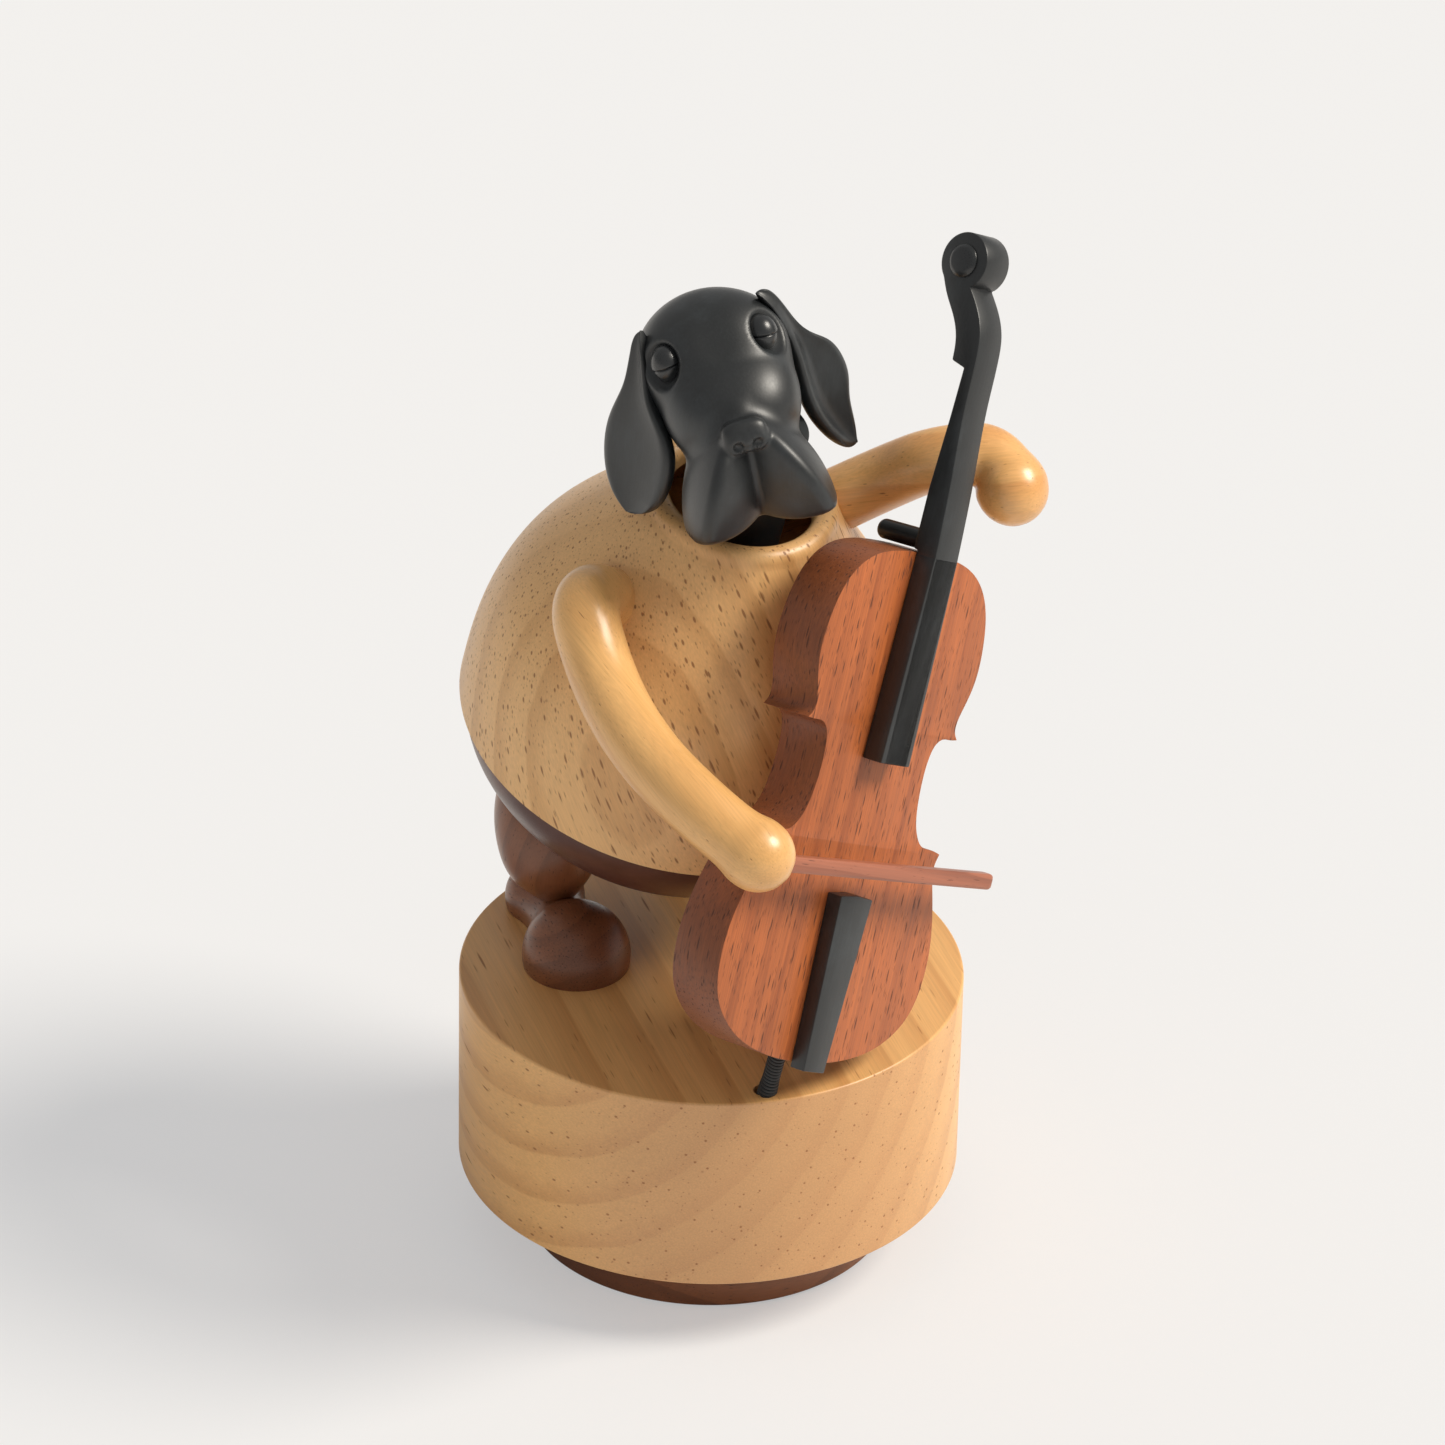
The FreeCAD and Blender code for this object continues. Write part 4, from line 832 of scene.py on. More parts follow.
def head_gap(points):
    """How far each point is from the carved head's surface."""
    eggs = head_blocks()
    form = eggs[0].gap(points)
    for egg, soft in zip(eggs[1:], (3.0, 2.0)):
        form = melt(form, egg.gap(points), soft)
    lips = melt(flew_wedge(-1).gap(points), flew_wedge(1).gap(points), 1.2)
    form = melt(form, lips, 2.0)
    for side in (-1, 1):
        eye, out = eye_middle(side), eye_way(side)
        mound = Egg(eye - out * 6.2, (8.0,) * 3)
        socket = Egg(eye + out * 4.6 + (0, 0, 0.3), (5.2, 5.2, 5.5))
        form = carve(melt(form, mound.gap(points), 2.6), socket.gap(points), 0.5)
    pad = Egg((0.0, -18.5, -7.3), (4.0, 2.4, 2.9), (("X", -24),), 3.0)
    form = melt(form, pad.gap(points), 0.8)
    for side in (-1, 1):
        nostril = Egg((side * 1.75, -21.7, -8.2), (1.2, 1.7, 1.3), (("Y", side * 24),))
        form = carve(form, nostril.gap(points), 0.35)
    return form


CARVING_ROUNDS, EVENING_ROUNDS = 14, 11
SLOPE_STEP, LEAST_SLOPE, LONGEST_MOVE = 0.02, 0.05, 1.5


def carved(name, eggs, hulls, gap, place, grain):
    """Blocks a form out of eggs and hulls, then draws every point of it onto the carved surface."""
    work = bmesh.new()
    for egg in eggs:
        shape = Matrix.Translation(egg.middle) @ Matrix(egg.turn.tolist()).to_4x4()
        shape = shape @ Matrix.Diagonal((*egg.radii, 1))
        bmesh.ops.create_icosphere(work, subdivisions=4, radius=1.0, matrix=shape)
    for hull in hulls:
        corners = [work.verts.new(tuple(point)) for point in hull]
        bmesh.ops.convex_hull(work, input=corners)
    obj = linked(name, mesh_of(name, work))
    one_skin(obj, grain)
    finished(obj)
    count = len(obj.data.vertices)
    flat = np.empty(count * 3)
    obj.data.vertices.foreach_get("co", flat)
    points = flat.reshape(-1, 3)
    edges = np.array([e.vertices[:] for e in obj.data.edges])
    degree = np.bincount(edges.ravel(), minlength=count)[:, None]
    for turn in range(CARVING_ROUNDS):
        near = gap(points)
        slope = np.empty_like(points)
        for axis in range(3):
            step = np.zeros(3)
            step[axis] = SLOPE_STEP
            slope[:, axis] = (gap(points + step) - gap(points - step)) / (2 * SLOPE_STEP)
        size = np.maximum((slope ** 2).sum(1), LEAST_SLOPE)
        points = points - slope * np.clip(near / size, -LONGEST_MOVE, LONGEST_MOVE)[:, None]
        if turn < EVENING_ROUNDS:
            around = np.zeros_like(points)
            np.add.at(around, edges[:, 0], points[edges[:, 1]])
            np.add.at(around, edges[:, 1], points[edges[:, 0]])
            pull = around / degree - points
            normal = slope / np.sqrt((slope ** 2).sum(1))[:, None]
            pull -= (pull * normal).sum(1)[:, None] * normal
            points = points + pull * 0.5
    obj.data.vertices.foreach_set("co", points.ravel())
    obj.data.transform(Matrix.Scale(MM, 4) @ place)
    tidy(obj, 60.0)
    return obj


def black_wood(name, way):
    sizes = bpy.context.scene.musicbox_figure
    return smooth_stain(name, sizes.black, tone(52, 58, 62), way, 0.48, 0.45)


def lidded_eye(side, radius):
    """A dome whose upper lid comes down over it and droops at its outer end, with the lower lid set back."""
    out = Vector(eye_way(side))
    upper = (GRAIN_UP - out * out.z).normalized()
    work = bmesh.new()
    bmesh.ops.create_icosphere(work, subdivisions=6, radius=1.0)
    for vert in work.verts:
        away = vert.co.normalized()
        height = away.dot(upper) + LID_DROOP * side * away.x - LID_LIFT
        lower = min(max(-height / SEAM_WIDTH, 0), 1)
        fold = SEAM_DEPTH * math.exp(-((height + 0.04) / SEAM_WIDTH) ** 2)
        size = radius * (1 - LOWER_LID * lower - fold)
        vert.co = Vector(a * share * size for a, share in zip(away, EYE_SHARES))
    mesh = mesh_of("eye", work)
    mesh.transform(Matrix.Scale(MM, 4) @ HEAD_PLACE @ Matrix.Translation(eye_middle(side)))
    return linked("eye", mesh)


class MUSICBOX_OT_head(bpy.types.Operator):
    """Carve the hound's head and its eyes"""
    bl_idname = "musicbox.head"
    bl_label = "Head and eyes"

    def execute(self, context):
        grain = 0.3
        middle = [(FLEW_SHIFT, 2.0, -21.5), (FLEW_SHIFT, 0.0, -6.0)]
        hulls = [[*flew_points(side).values(), *middle] for side in (-1, 1)]
        head = carved("head_carved", head_blocks(), hulls, head_gap, HEAD_PLACE, grain)
        dress(head, "head", "black_wood", black_wood("Black head", (0, 0, 1)), "head_carving")
        radius = context.scene.musicbox_figure.eye / MM
        eyes = joined_up("eyes_lidded", [lidded_eye(side, radius) for side in (-1, 1)])
        gloss = smooth_stain("Black eyes", tone(28, 30, 32), tone(48, 51, 54), (0, 0, 1), 0.3, 0.35, 0.12)
        dress(eyes, "head", "black_gloss", gloss, "eyes")
        return {"FINISHED"}


# Ears
EAR_WIDE = 7.7
EARS = {
    "right": {
        "top": (-11.5, 4.1, 5.2), "tip": (-20.1, -1.1, -26.7), "angle": 124.0, "outer": 1, "roll": 0.0,
        "front": ((-0.12, 1.0), (-0.32, 0.72), (-0.48, 0.38), (-0.92, 0.06), (-1.24, -0.28), (-1.06, -0.64),
                  (-0.46, -0.92), (0.1, -0.98)),
        "back": ((-0.12, 1.0), (0.08, 0.92), (0.22, 0.7), (0.36, 0.42), (0.7, 0.1), (0.93, -0.24),
                 (0.91, -0.52), (0.64, -0.8), (0.17, -0.98))},
    "left": {
        "top": (11.1, 4.0, 6.7), "tip": (17.8, 4.0, -29.6), "angle": 28.0, "outer": -1, "roll": 1.0,
        "front": ((-0.26, 1.0), (-0.1, 0.7), (-0.08, 0.34), (-0.22, 0.0), (-0.3, -0.34), (-0.14, -0.68),
                  (0.24, -0.96), (0.52, -1.0)),
        "back": ((-0.26, 1.0), (0.08, 0.94), (0.26, 0.74), (0.42, 0.46), (0.74, 0.22), (1.08, -0.04),
                 (1.1, -0.28), (0.86, -0.54), (0.7, -0.82), (0.55, -1.0))},
}


def ear_place(ear):
    top, tip = Vector(ear["top"]), Vector(ear["tip"])
    along = (top - tip).normalized()
    angle = math.radians(ear["angle"])
    across = Vector((math.cos(angle), math.sin(angle), 0))
    across = (across - along * across.dot(along)).normalized()
    deep = along.cross(across)
    turn = Matrix((across, deep, along)).transposed().to_4x4()
    return HEAD_PLACE @ Matrix.Translation((top + tip) / 2) @ turn, (top - tip).length / 2


def ear_section(width, fade, roll, steps=14):
    """One cut across the ear: its thick front edge, the outer face, the thin back edge, and back inside."""
    front, back = 1.65 * fade, 0.8 * fade
    ease = min(0.75 * fade, width * 0.2)
    outer = [(0.0, front - ease)]
    for n in range(1, steps + 1):
        share = n / steps
        along = width * share
        thick = front + (back - front) * share ** 0.8
        edge = min(along, width - along)
        if edge < ease:
            thick -= ease - math.sqrt(max(ease ** 2 - (ease - edge) ** 2, 0))
        ridge = 0.7 * math.exp(-((along - 1.3) / 1.1) ** 2)
        hollow = 0.5 * math.exp(-((along - 4.2) / 1.8) ** 2)
        thick += roll * fade * (ridge - hollow)
        outer.append((along, max(thick, 0.05)))
    inner = [(u, -max(w * 0.9, 0.05)) for u, w in outer[::-1]]
    return outer + inner


class MUSICBOX_OT_ears(bpy.types.Operator):
    """Shape the hanging ears"""
    bl_idname = "musicbox.ears"
    bl_label = "Ears"

    def execute(self, context):
        for name, ear in EARS.items():
            place, half = ear_place(ear)
            front, back = flowing(ear["front"], 8), flowing(ear["back"], 8)
            levels = [math.cos(a) for a in np.linspace(0.06, math.pi - 0.06, 64)]
            low, high = max(front[-1][1], back[-1][1]), 1.0
            points, count = [], 0
            for level in levels:
                v = low + (high - low) * (level + 1) / 2
                start = np.interp(-v, -front[:, 1], front[:, 0]) * EAR_WIDE
                end = np.interp(-v, -back[:, 1], back[:, 0]) * EAR_WIDE
                fade = min(1.0, math.sqrt(max(1 - level ** 2, 0)) * 1.7)
                width = max(end - start, 0.4)
                section = ear_section(width, fade, ear["roll"])
                count = len(section)
                for u, w in section:
                    dish = -0.9 * math.sin(math.pi * min(u / width, 1.0)) * fade
                    points.append((start + u, (w + dish) * ear["outer"], v * half))
            faces = stacked(len(levels), count)
            obj = piece(f"ear_{name}_shaped", points, faces, place, 50.0)
            smooth = obj.modifiers.new("Rounded", "SUBSURF")
            smooth.levels = smooth.render_levels = 1
            finished(obj)
            tidy(obj, 60.0)
            dress(obj, "head", "black_wood", black_wood("Black ear " + name, (0.2, 0, 1)), "ear_" + name)
        return {"FINISHED"}


# Arms
def group_start(name, inputs):
    """An empty Geometry Nodes group with these inputs and a material, and its tree and input node."""
    group = bpy.data.node_groups.new(name, "GeometryNodeTree")
    for title, kind in {"Geometry": "Geometry", **inputs, "Material": "Material"}.items():
        group.interface.new_socket(title, in_out="INPUT", socket_type="NodeSocket" + kind)
    group.interface.new_socket("Geometry", in_out="OUTPUT", socket_type="NodeSocketGeometry")
    tree = Tree(group)
    return group, tree, tree.node("NodeGroupInput")


def group_end(tree, given, shape):
    """Realizes the shape, gives it the material and ends the group."""
    real = tree.node("GeometryNodeRealizeInstances", None, {"Geometry": shape})
    values = {"Geometry": real, "Material": given.of("Material")}
    painted = tree.node("GeometryNodeSetMaterial", None, values)
    tree.node("NodeGroupOutput", None, {"Geometry": painted})


def circle_curve(tree, sides, radius):
    values = {"Resolution": sides, "Radius": radius}
    return tree.node("GeometryNodeCurvePrimitiveCircle", {"mode": "RADIUS"}, values)


def rod_nodes():
    """Geometry Nodes that sweep a round section along a curve, as thick at each point as the curve says."""
    group, tree, given = group_start("Bent rod", {"Rod Radius": "Float", "Sides": "Int"})
    circle = circle_curve(tree, given.of("Sides"), given.of("Rod Radius"))
    skin = tree.node("GeometryNodeCurveToMesh", None,
                     {"Curve": given, "Profile Curve": circle, "Fill Caps": True,
                      "Scale": tree.node("GeometryNodeInputRadius")})
    whole = tree.node("GeometryNodeMergeByDistance", None, {"Geometry": skin, "Distance": 1e-6})
    group_end(tree, given, whole)
    return group


def run_nodes(obj, group, values, name):
    """Runs a Geometry Nodes group over an object with these inputs, and returns a plain mesh object."""
    live = obj.modifiers.new("Made by nodes", "NODES")
    live.node_group = group
    for item in group.interface.items_tree:
        if item.in_out == "INPUT" and item.name in values:
            live[item.identifier] = values[item.name]
    made = linked(name, evaluated_mesh(obj))
    bpy.data.objects.remove(obj)
    return made


def arc_points(start, control, end, reach, count):
    """Points of the circle's arc that leaves start and reaches end along its control's two sides."""
    weight = (end - start).length / (2 * reach)
    line = []
    for t in np.linspace(0, 1, count):
        parts = ((1 - t) ** 2, 2 * weight * t * (1 - t), t ** 2)
        line.append((start * parts[0] + control * parts[1] + end * parts[2]) / sum(parts))
    return line


def bend(start, way, end, leave, count):
    """Two arcs that leave start along way and reach end along leave."""
    run, both = end - start, way + leave
    k = 2 * (1 - way.dot(leave))
    reach = (-run.dot(both) + math.sqrt(run.dot(both) ** 2 + k * run.dot(run))) / k
    first, second = start + way * reach, end - leave * reach
    middle = (first + second) / 2
    line = arc_points(start, first, middle, reach, count)
    return line + arc_points(middle, second, end, reach, count)[1:]


ARMS = {
    "right": {
        "places": ((-21.5, 4.6, 130.8), (-33.5, -13.7, 123.6), (-30.6, -49.9, 109.6)),
        "ways": ((-0.80, -0.30, 0.52), (-0.227, -0.903, -0.363), (0.42, -0.78, -0.46))},
    "left": {
        "places": ((23.8, -2.5, 139.0), (40.6, -18.6, 149.7), (42.9, -26.6, 145.6)),
        "ways": ((0.80, -0.42, 0.40), (0.86, -0.51, 0.02), (-0.25, -0.77, -0.59))},
}


PEG, STRAIGHT = 0.8, 4.0
ROD_SHARE, ROD_TAPER, WRIST = 0.98, 0.06, 0.7


def arm_line(arm, radius, hand):
    """The arm's middle line, and how thick it is at each point as a share of its radius."""
    places = [Vector(p) for p in arm["places"]]
    ways = [Vector(w).normalized() for w in arm["ways"]]
    start = places[0] - ways[0] * PEG
    line = [start, start + ways[0] * STRAIGHT]
    for n in (0, 1):
        line += bend(line[-1], ways[n], places[n + 1], ways[n + 1], 16)[1:]
    tip = line[-1] + ways[2] * hand
    line += [tip - ways[2] * (hand * math.cos(a)) for a in np.linspace(0.1, math.pi / 2, 14)]
    from_tip = [0.0]
    for a, b in zip(line[::-1], line[::-1][1:]):
        from_tip.append(from_tip[-1] + (a - b).length)
    shares = []
    for gap in from_tip[::-1]:
        ball = math.sqrt(max(hand ** 2 - (hand - gap) ** 2, 0)) if gap < 2 * hand else 0
        rod = radius * (ROD_SHARE + ROD_TAPER * gap / from_tip[-1]) if gap > hand else 0
        thick = (ball + rod + math.sqrt((ball - rod) ** 2 + WRIST ** 2) - WRIST) / 2
        shares.append(max(thick, 0.001) / radius)
    return line, shares


def curve_through(name, line, shares):
    curve = bpy.data.curves.new(name, "CURVE")
    curve.dimensions = "3D"
    spline = curve.splines.new("POLY")
    spline.points.add(len(line) - 1)
    for point, place, share in zip(spline.points, line, shares):
        point.co = (*(Vector(place) * MM), 1)
        point.radius = share
    return linked(name, curve)


def bow_stick(low=-33.5, high=30.6, tall=2.9, deep=2.8, steps=28):
    """A squarish stick with rounded edges, and a rounded tip."""
    points = []
    stations = [(low, 0.9), (low + 0.2, 0.98), (low + 0.5, 1.0), (high - 1.2, 1.0), (high - 0.6, 0.96),
                (high - 0.25, 0.86), (high - 0.06, 0.66), (high, 0.45)]
    for x, share in stations:
        for n in range(steps):
            a = 2 * math.pi * n / steps
            c, s = math.cos(a), math.sin(a)
            size = (abs(c) ** 5 + abs(s) ** 5) ** (-1 / 5)
            points.append((x, deep / 2 * share * size * c, tall / 2 * share * size * s))
    return points, stacked(len(stations), steps)


class MUSICBOX_OT_arms(bpy.types.Operator):
    """Bend the arms out of round rod, and set the bow in the right hand"""
    bl_idname = "musicbox.arms"
    bl_label = "Arms and bow"

    def execute(self, context):
        sizes = context.scene.musicbox_figure
        hand = sizes.hand / MM
        group = rod_nodes()
        alike = {"ring_gap": 8.0, "ring_share": 0.4, "blotch": 0.22, "rough": 0.32, "coat": 0.3}
        woods = {
            "right": ("bow_arm", "arm_wood", wood(
                "Right arm wood", tone(230, 178, 112), tone(204, 142, 76), tone(150, 98, 52),
                tone(218, 164, 100), (0.05, -0.9, -0.42), (18, 25, 0), pore_size=0.2, pore_length=4.0,
                pore_gap=1.4, pore_share=0.25, **alike)),
            "left": ("turntable", "arm_wood_gold", wood(
                "Left arm wood", tone(234, 178, 112), tone(204, 134, 70), tone(140, 84, 40),
                tone(216, 156, 92), (0.8, -0.55, 0.1), (14, 30, 0), pore_size=0.45, pore_length=2.0,
                pore_gap=1.8, pore_share=0.3, **alike)),
        }
        for name, arm in ARMS.items():
            radius = (sizes.arm_right if name == "right" else sizes.arm_left) / MM
            line, shares = arm_line(arm, radius, hand)
            body, slot, timber = woods[name]
            values = {"Rod Radius": radius * MM, "Sides": 56, "Material": timber}
            rod = run_nodes(curve_through("arm_line", line, shares), group, values, f"arm_{name}_bent")
            tidy(rod)
            filleted(rod, 0.35)
            dress(rod, body, slot, timber, "arm_" + name)
        stick = piece("bow_stick", *bow_stick(), CELLO_PLACE @ placed((0, -6.4, 35.6), ("Y", -1.7)))
        red = wood("Bow wood", tone(166, 100, 74), tone(124, 70, 50), tone(88, 46, 32), tone(136, 80, 58),
                   CELLO_PLACE.to_3x3() @ Vector((1, 0, 0)), (8, 8, 0), ring_gap=3.0, ring_share=0.6,
                   pore_size=0.16, pore_length=2.0, pore_gap=0.7, rough=0.42)
        dress(stick, "bow_arm", "cello_wood", red, "bow")
        return {"FINISHED"}


# Cello
LOWER_BOUT = ((0.0, 0.0), (0.212, 0.002), (0.421, 0.012), (0.624, 0.031), (0.806, 0.064), (0.943, 0.113),
              (0.998, 0.176), (0.993, 0.242), (0.945, 0.303), (0.866, 0.366), (0.83, 0.408), (0.852, 0.433))
WAIST = ((0.852, 0.433), (0.754, 0.439), (0.66, 0.443), (0.594, 0.46), (0.543, 0.49), (0.511, 0.54),
         (0.504, 0.58), (0.515, 0.617), (0.55, 0.643), (0.604, 0.654), (0.67, 0.655), (0.742, 0.657))
UPPER_BOUT = ((0.742, 0.657), (0.705, 0.671), (0.7, 0.69), (0.725, 0.717), (0.765, 0.755), (0.782, 0.795),
              (0.77, 0.844), (0.711, 0.909), (0.62, 0.951), (0.485, 0.98), (0.328, 0.994), (0.164, 0.999),
              (0.0, 1.0))


class MUSICBOX_OT_cello(bpy.types.Operator):
    """Saw the cello's plate, and set its tailpiece"""
    bl_idname = "musicbox.cello"
    bl_label = "Cello plate and tailpiece"

    def execute(self, context):
        sizes = context.scene.musicbox_cello
        half, tall, thick = sizes.half / MM, sizes.length / MM, sizes.thick / MM
        right = []
        for table in (LOWER_BOUT, WAIST, UPPER_BOUT):
            right += [tuple(p) for p in flowing([(half * x, tall * z) for x, z in table], 6)[:-1]]
        right.append((0.0, tall))
        outline = right + [(-x, z) for x, z in right[::-1] if x > 1e-9]
        plate = piece("cello_sawn", *outlined(outline, 0.0, thick, "Y"), CELLO_PLACE, 30.0)
        softened(plate, 0.28, 50.0)
        grain = CELLO_PLACE.to_3x3() @ Vector((-0.02, 0.0, 1))
        red = wood("Cello wood", sizes.red, sizes.brown, tone(70, 36, 22), tone(116, 66, 40), grain,
                   (4, 30, 0), ring_gap=6.0, ring_wander=10.0, ring_share=0.35, streak_share=1.0,
                   pore_size=0.36, pore_length=2.8, pore_gap=0.8, pore_share=0.75, blotch=0.4, grainy=0.9,
                   rough=0.46, coat=0.08, face=CELLO_PLACE.to_3x3() @ Vector((0, 1, 0)))
        dress(plate, "turntable", "cello_wood", red, "cello_plate")

        low, high, aside = 5.6 / 2, 8.6 / 2, 0.3
        shape = [(-low + aside, -1.0), (low + aside, -1.0), (high + aside, 30.0), (aside, 30.4),
                 (-high + aside, 30.0)]
        tail = piece("tailpiece_sawn", *outlined(shape, -3.2, 0.0, "Y"), CELLO_PLACE)
        softened(tail, 0.22)
        dress(tail, "turntable", "black_wood", black_wood("Black tailpiece", grain), "tailpiece")
        return {"FINISHED"}


SCROLL = Vector((5.3, 140.3))
SCROLL_FRONT, SCROLL_BACK = (2.6, 136.2), (9.0, 137.0)
THROAT = ((-4.4, 90.2), (-3.6, 104.0), (-2.6, 117.0), (-2.4, 125.5), (-1.9, 129.0), (-0.6, 132.0),
          SCROLL_FRONT)
NAPE = (SCROLL_BACK, (7.5, 134.3), (4.5, 130.2), (3.1, 127.0), (2.7, 123.4))
HEEL = ((-0.2, 122.6), (0.1, 113.7), (0.8, 101.4), (0.8, 90.6), (0.0, 90.6), (0.0, 53.8))


def neck_outline(radius=5.0):
    """The neck and scroll from the side, as (depth, height): the front line, the scroll, the back line."""
    front = [(-4.4, 53.8), (-4.4, 90.2)]
    sweep = [tuple(p) for p in flowing(THROAT, 7)[1:]]
    first, last = Vector(SCROLL_FRONT) - SCROLL, Vector(SCROLL_BACK) - SCROLL
    start, stop = math.atan2(first.y, first.x), math.atan2(last.y, last.x)
    arc = [(SCROLL.x + radius * math.cos(a), SCROLL.y + radius * math.sin(a))
           for a in np.linspace(start % (2 * math.pi), stop, 40)[1:]]
    back = [tuple(p) for p in flowing(NAPE, 7)[1:]]
    return front + sweep + arc + back + list(HEEL)


class MUSICBOX_OT_neck(bpy.types.Operator):
    """Shape the cello's neck, fingerboard, scroll and buttons"""
    bl_idname = "musicbox.neck"
    bl_label = "Cello neck and scroll"

    def execute(self, context):
        half, wide = 6.3 / 2, 7.9 / 2
        bar = piece("bar", *outlined(neck_outline(), -half, half, "X"), CELLO_PLACE, 30.0)
        softened(bar, 0.3)
        shape = [(-wide, 53.8), (wide, 53.8), (half, 90.2), (-half, 90.2)]
        board = piece("board", *outlined(shape, -4.4, -0.05, "Y"), CELLO_PLACE)
        softened(board, 0.3)
        heel = eased([(0, 0, 0), (1.8, 0, 0.2), (1.75, 10.9, 1.1), (0, 11.6, 0)], 6)
        dowel = piece("dowel", *turned(heel, 40), CELLO_PLACE @ placed((0, 0, 92.4), ("X", -90)))
        neck = joined_up("cello_neck_shaped", [bar, board, dowel])
        grain = CELLO_PLACE.to_3x3() @ Vector((0, 0, 1))
        dress(neck, "turntable", "black_wood", black_wood("Black neck", grain), "cello_neck")
        buttons = []
        for side in (-1, 1):
            dome = eased([(2.9, 0.0, 0), (2.9, 0.35, 0.3), (2.3, 0.95, 1.2), (0, 1.2, 0)], 8)
            place = placed((side * half, SCROLL.x, SCROLL.y), ("Y", side * 90))
            buttons.append(piece("button", *turned([(0, 0)] + dome, 56), CELLO_PLACE @ place))
        pair = joined_up("scroll_buttons_domed", buttons)
        gloss = smooth_stain("Black buttons", tone(28, 30, 32), tone(50, 53, 56), grain, 0.3, 0.3, 0.15)
        dress(pair, "turntable", "black_gloss", gloss, "scroll_buttons")
        return {"FINISHED"}


# Endpin
COIL_PITCH = 0.78


def coil_nodes():
    """Geometry Nodes that wind a wire into a spring, a little wider at its foot."""
    inputs = dict.fromkeys(("Coil Radius", "Wire Radius", "Height", "Flare", "Turns"), "Float")
    group, tree, given = group_start("Endpin spring", inputs)
    radius = given.of("Coil Radius")
    spiral = tree.node("GeometryNodeCurveSpiral", None,
                       {"Resolution": 28, "Rotations": given.of("Turns"), "Start Radius": radius,
                        "End Radius": radius, "Height": given.of("Height")})
    place = tree.node("GeometryNodeInputPosition")
    parts = tree.node("ShaderNodeSeparateXYZ", None, {0: place})
    up = parts.of("Z")
    wider = 1 + (1 - (up / given.of("Height")).step(0.28, 0.5)) * given.of("Flare")
    moved = tree.node("ShaderNodeCombineXYZ", None, {0: parts * wider, 1: parts.of("Y") * wider, 2: up})
    flared = tree.node("GeometryNodeSetPosition", None, {"Geometry": spiral, "Position": moved})
    circle = circle_curve(tree, 10, given.of("Wire Radius"))
    skin = tree.node("GeometryNodeCurveToMesh", None,
                     {"Curve": flared, "Profile Curve": circle, "Fill Caps": True})
    group_end(tree, given, skin)
    return group


class MUSICBOX_OT_endpin(bpy.types.Operator):
    """Wind the black spring that the cello stands on"""
    bl_idname = "musicbox.endpin"
    bl_label = "Endpin spring"

    def execute(self, context):
        sizes = context.scene.musicbox_cello
        low = Vector((*PIN_FOOT, DRUM_TOP - 3.0))
        high = CELLO_PLACE @ Vector((0, sizes.thick / MM / 2, 1.2))
        run = high - low
        black = smooth_stain("Black wire", tone(20, 20, 21), tone(52, 54, 57), (0, 0, 1), 0.42, 0.0, 0.3)
        holder = linked("holder", bpy.data.meshes.new("holder"))
        values = {"Coil Radius": sizes.coil_radius, "Wire Radius": sizes.coil_wire, "Height": run.length * MM,
                  "Flare": 0.16, "Turns": float(round(run.length / COIL_PITCH)), "Material": black}
        coil = run_nodes(holder, coil_nodes(), values, "endpin_coil")
        turn = GRAIN_UP.rotation_difference(run).to_matrix().to_4x4()
        coil.data.transform(Matrix.Translation(low * MM) @ turn)
        tidy(coil)
        dress(coil, "turntable", "spring_steel", black, "endpin_spring")
        return {"FINISHED"}


# Clockwork and hidden pieces
class MUSICBOX_OT_works(bpy.types.Operator):
    """Give the clockwork and the hidden wooden pieces their materials"""
    bl_idname = "musicbox.works"
    bl_label = "Clockwork"

    def execute(self, context):
        sizes = context.scene.musicbox_figure
        plain = {
            "brass": turned_metal("Brass", tone(214, 178, 98)),
            "steel": turned_metal("Steel", tone(186, 188, 192), 0.28),
            "felt": pressed_felt("Felt", tone(58, 78, 60)),
            "black_wood": black_wood("Black column", (0, 0, 1)),
            "body_wood": wood("Bridge wood", sizes.body_light, sizes.body_dark, tone(158, 110, 66),
                              tone(220, 178, 130), (1, 0, 0), (0, 20, 0), ring_gap=9.0),
            "drum_wood": wood("Plate wood", tone(222, 176, 118), tone(190, 138, 84), tone(150, 98, 56),
                              tone(204, 160, 118), (1, 0, 0), (0, 40, 0), ring_gap=8.0),
            "cello_wood": wood("Dowel wood", tone(180, 108, 74), tone(140, 80, 54), tone(90, 46, 32),
                               tone(150, 90, 62), (0, 1, 0), (0, 9, 0), ring_gap=3.0),
        }
        for part in frame["record"]["subparts"]:
            node = frame["nodes"][part["node"]]
            if node.hide_render:
                continue
            material = plain[part["material_slot"]]
            if not node.material_slots:
                node.data.materials.append(material)
            for slot in node.material_slots:
                slot.material = material
        return {"FINISHED"}


# Studio
KEY_WAY = (0.755, -0.655, 1.0)
CAMERA_LENS = 186.85
CAMERA_PLACE = (-707.814, -885.112, 761.595)
CAMERA_AXES = ((0.78711185, -0.61652225, 0.01884831), (0.29769252, 0.40647127, 0.86380569),
               (-0.54021672, -0.67430069, 0.50347241))


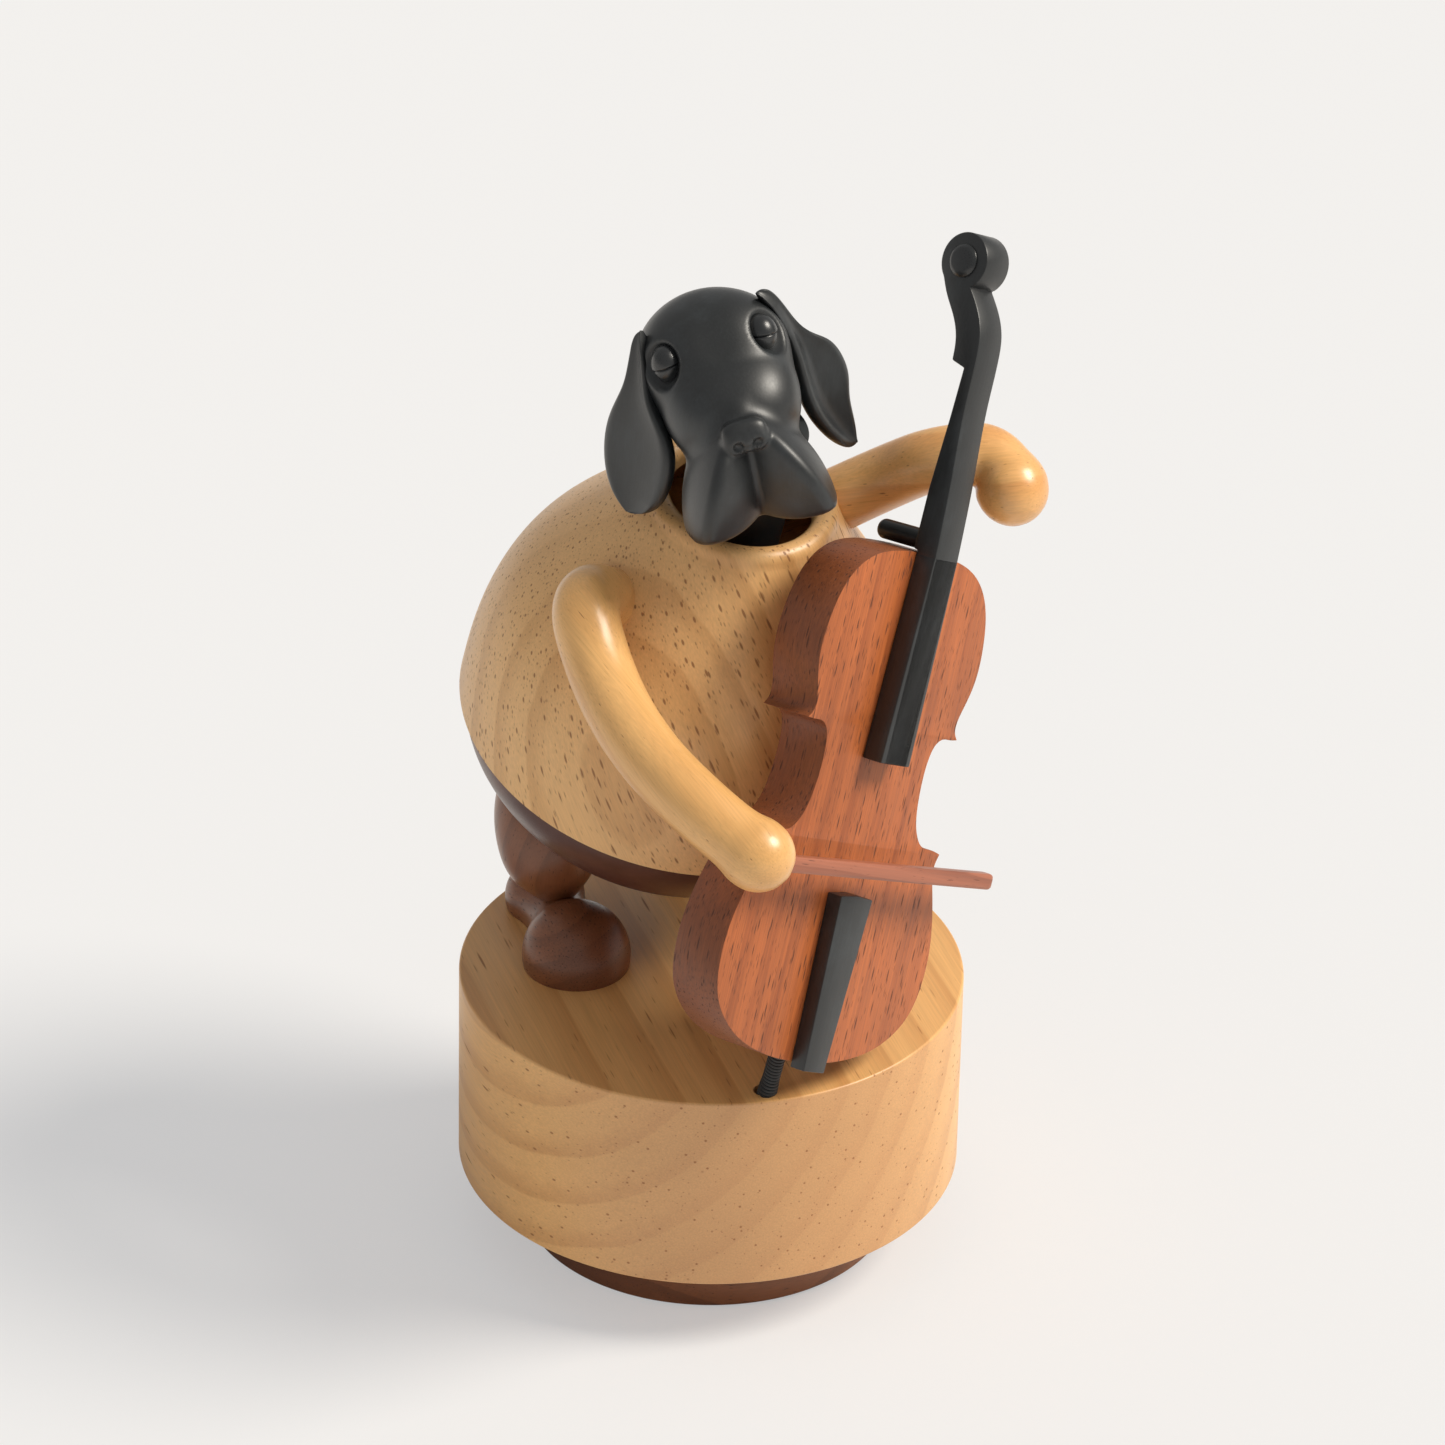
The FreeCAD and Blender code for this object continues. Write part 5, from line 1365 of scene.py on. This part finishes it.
class MUSICBOX_OT_studio(bpy.types.Operator):
    """Set the floor, the lights and the camera"""
    bl_idname = "musicbox.studio"
    bl_label = "Studio"

    def execute(self, context):
        sizes = context.scene.musicbox_studio
        scene = context.scene
        floor_mesh = bpy.data.meshes.new("floor")
        reach = 6.0
        corners = [(-reach, -reach, 0), (reach, -reach, 0), (reach, reach, 0), (-reach, reach, 0)]
        floor_mesh.from_pydata(corners, [], [(0, 1, 2, 3)])
        floor = linked("floor", floor_mesh)
        pale = Finish("Pale floor", 0.9)
        pale.shader.inputs["Base Color"].default_value = sizes.floor
        seen = pale.node("ShaderNodeLightPath", output="Is Camera Ray")
        glow = pale.node("ShaderNodeEmission", None, {"Color": sizes.floor, "Strength": 1.0})
        lit = Wire(pale, pale.shader.outputs[0])
        mix = pale.node("ShaderNodeMixShader", None, {0: seen * 0.5, 1: lit, 2: glow})
        pale.tree.links.new(mix.socket, pale.tree.nodes["Material Output"].inputs["Surface"])
        floor_mesh.materials.append(pale.material)

        world = bpy.data.worlds.new("White room")
        world.use_nodes = True
        scene.world = world
        room = Tree(world.node_tree)
        shown = room.node("ShaderNodeLightPath", output="Is Camera Ray")
        strength = shown * (1 - sizes.fill) + sizes.fill
        back = world.node_tree.nodes["Background"]
        back.inputs["Color"].default_value = (0.99, 0.985, 0.97, 1)
        world.node_tree.links.new(strength.socket, back.inputs["Strength"])

        lamp = bpy.data.lights.new("Key", "SUN")
        lamp.energy = sizes.key
        lamp.angle = math.radians(24.0)
        lamp.color = (1.0, 0.94, 0.84)
        key = linked("Key", lamp)
        key.rotation_euler = Vector(KEY_WAY).to_track_quat("Z", "Y").to_euler()

        camera = linked("Camera", bpy.data.cameras.new("Camera"))
        camera.data.lens = CAMERA_LENS
        camera.data.sensor_width = 36.0
        camera.data.clip_end = 50.0
        turn = Matrix(CAMERA_AXES).transposed().to_4x4()
        camera.matrix_world = Matrix.Translation(Vector(CAMERA_PLACE) * MM) @ turn
        scene.camera = camera
        scene.view_settings.view_transform = "Standard"
        return {"FINISHED"}


class MUSICBOX_PT_panel(bpy.types.Panel):
    """Lists the pieces of the music box and the sizes that can be changed"""
    bl_idname = "MUSICBOX_PT_panel"
    bl_label = "Music box"
    bl_space_type = "VIEW_3D"
    bl_region_type = "UI"
    bl_category = "Music box"

    def draw(self, context):
        for group in GROUPS:
            settings = getattr(context.scene, group)
            for name in settings.__annotations__:
                self.layout.prop(settings, name)
        for maker in MAKERS:
            self.layout.operator(maker.bl_idname)


GROUPS = {
    "musicbox_base": MusicboxBase,
    "musicbox_figure": MusicboxFigure,
    "musicbox_cello": MusicboxCello,
    "musicbox_studio": MusicboxStudio,
}
MAKERS = (MUSICBOX_OT_base, MUSICBOX_OT_body, MUSICBOX_OT_legs, MUSICBOX_OT_head, MUSICBOX_OT_ears,
          MUSICBOX_OT_arms, MUSICBOX_OT_cello, MUSICBOX_OT_neck, MUSICBOX_OT_endpin, MUSICBOX_OT_works,
          MUSICBOX_OT_studio)


def register():
    for name, group in GROUPS.items():
        bpy.utils.register_class(group)
        setattr(bpy.types.Scene, name, bpy.props.PointerProperty(type=group))
    for kind in (*MAKERS, MUSICBOX_PT_panel):
        bpy.utils.register_class(kind)


def unregister():
    for kind in (MUSICBOX_PT_panel, *reversed(MAKERS)):
        bpy.utils.unregister_class(kind)
    for name, group in reversed(GROUPS.items()):
        delattr(bpy.types.Scene, name)
        bpy.utils.unregister_class(group)


def main():
    register()
    bpy.ops.musicbox.base()
    bpy.ops.musicbox.body()
    bpy.ops.musicbox.legs()
    bpy.ops.musicbox.head()
    bpy.ops.musicbox.ears()
    bpy.ops.musicbox.arms()
    bpy.ops.musicbox.cello()
    bpy.ops.musicbox.neck()
    bpy.ops.musicbox.endpin()
    bpy.ops.musicbox.works()
    bpy.ops.musicbox.studio()


if __name__ == "__main__":
    main()
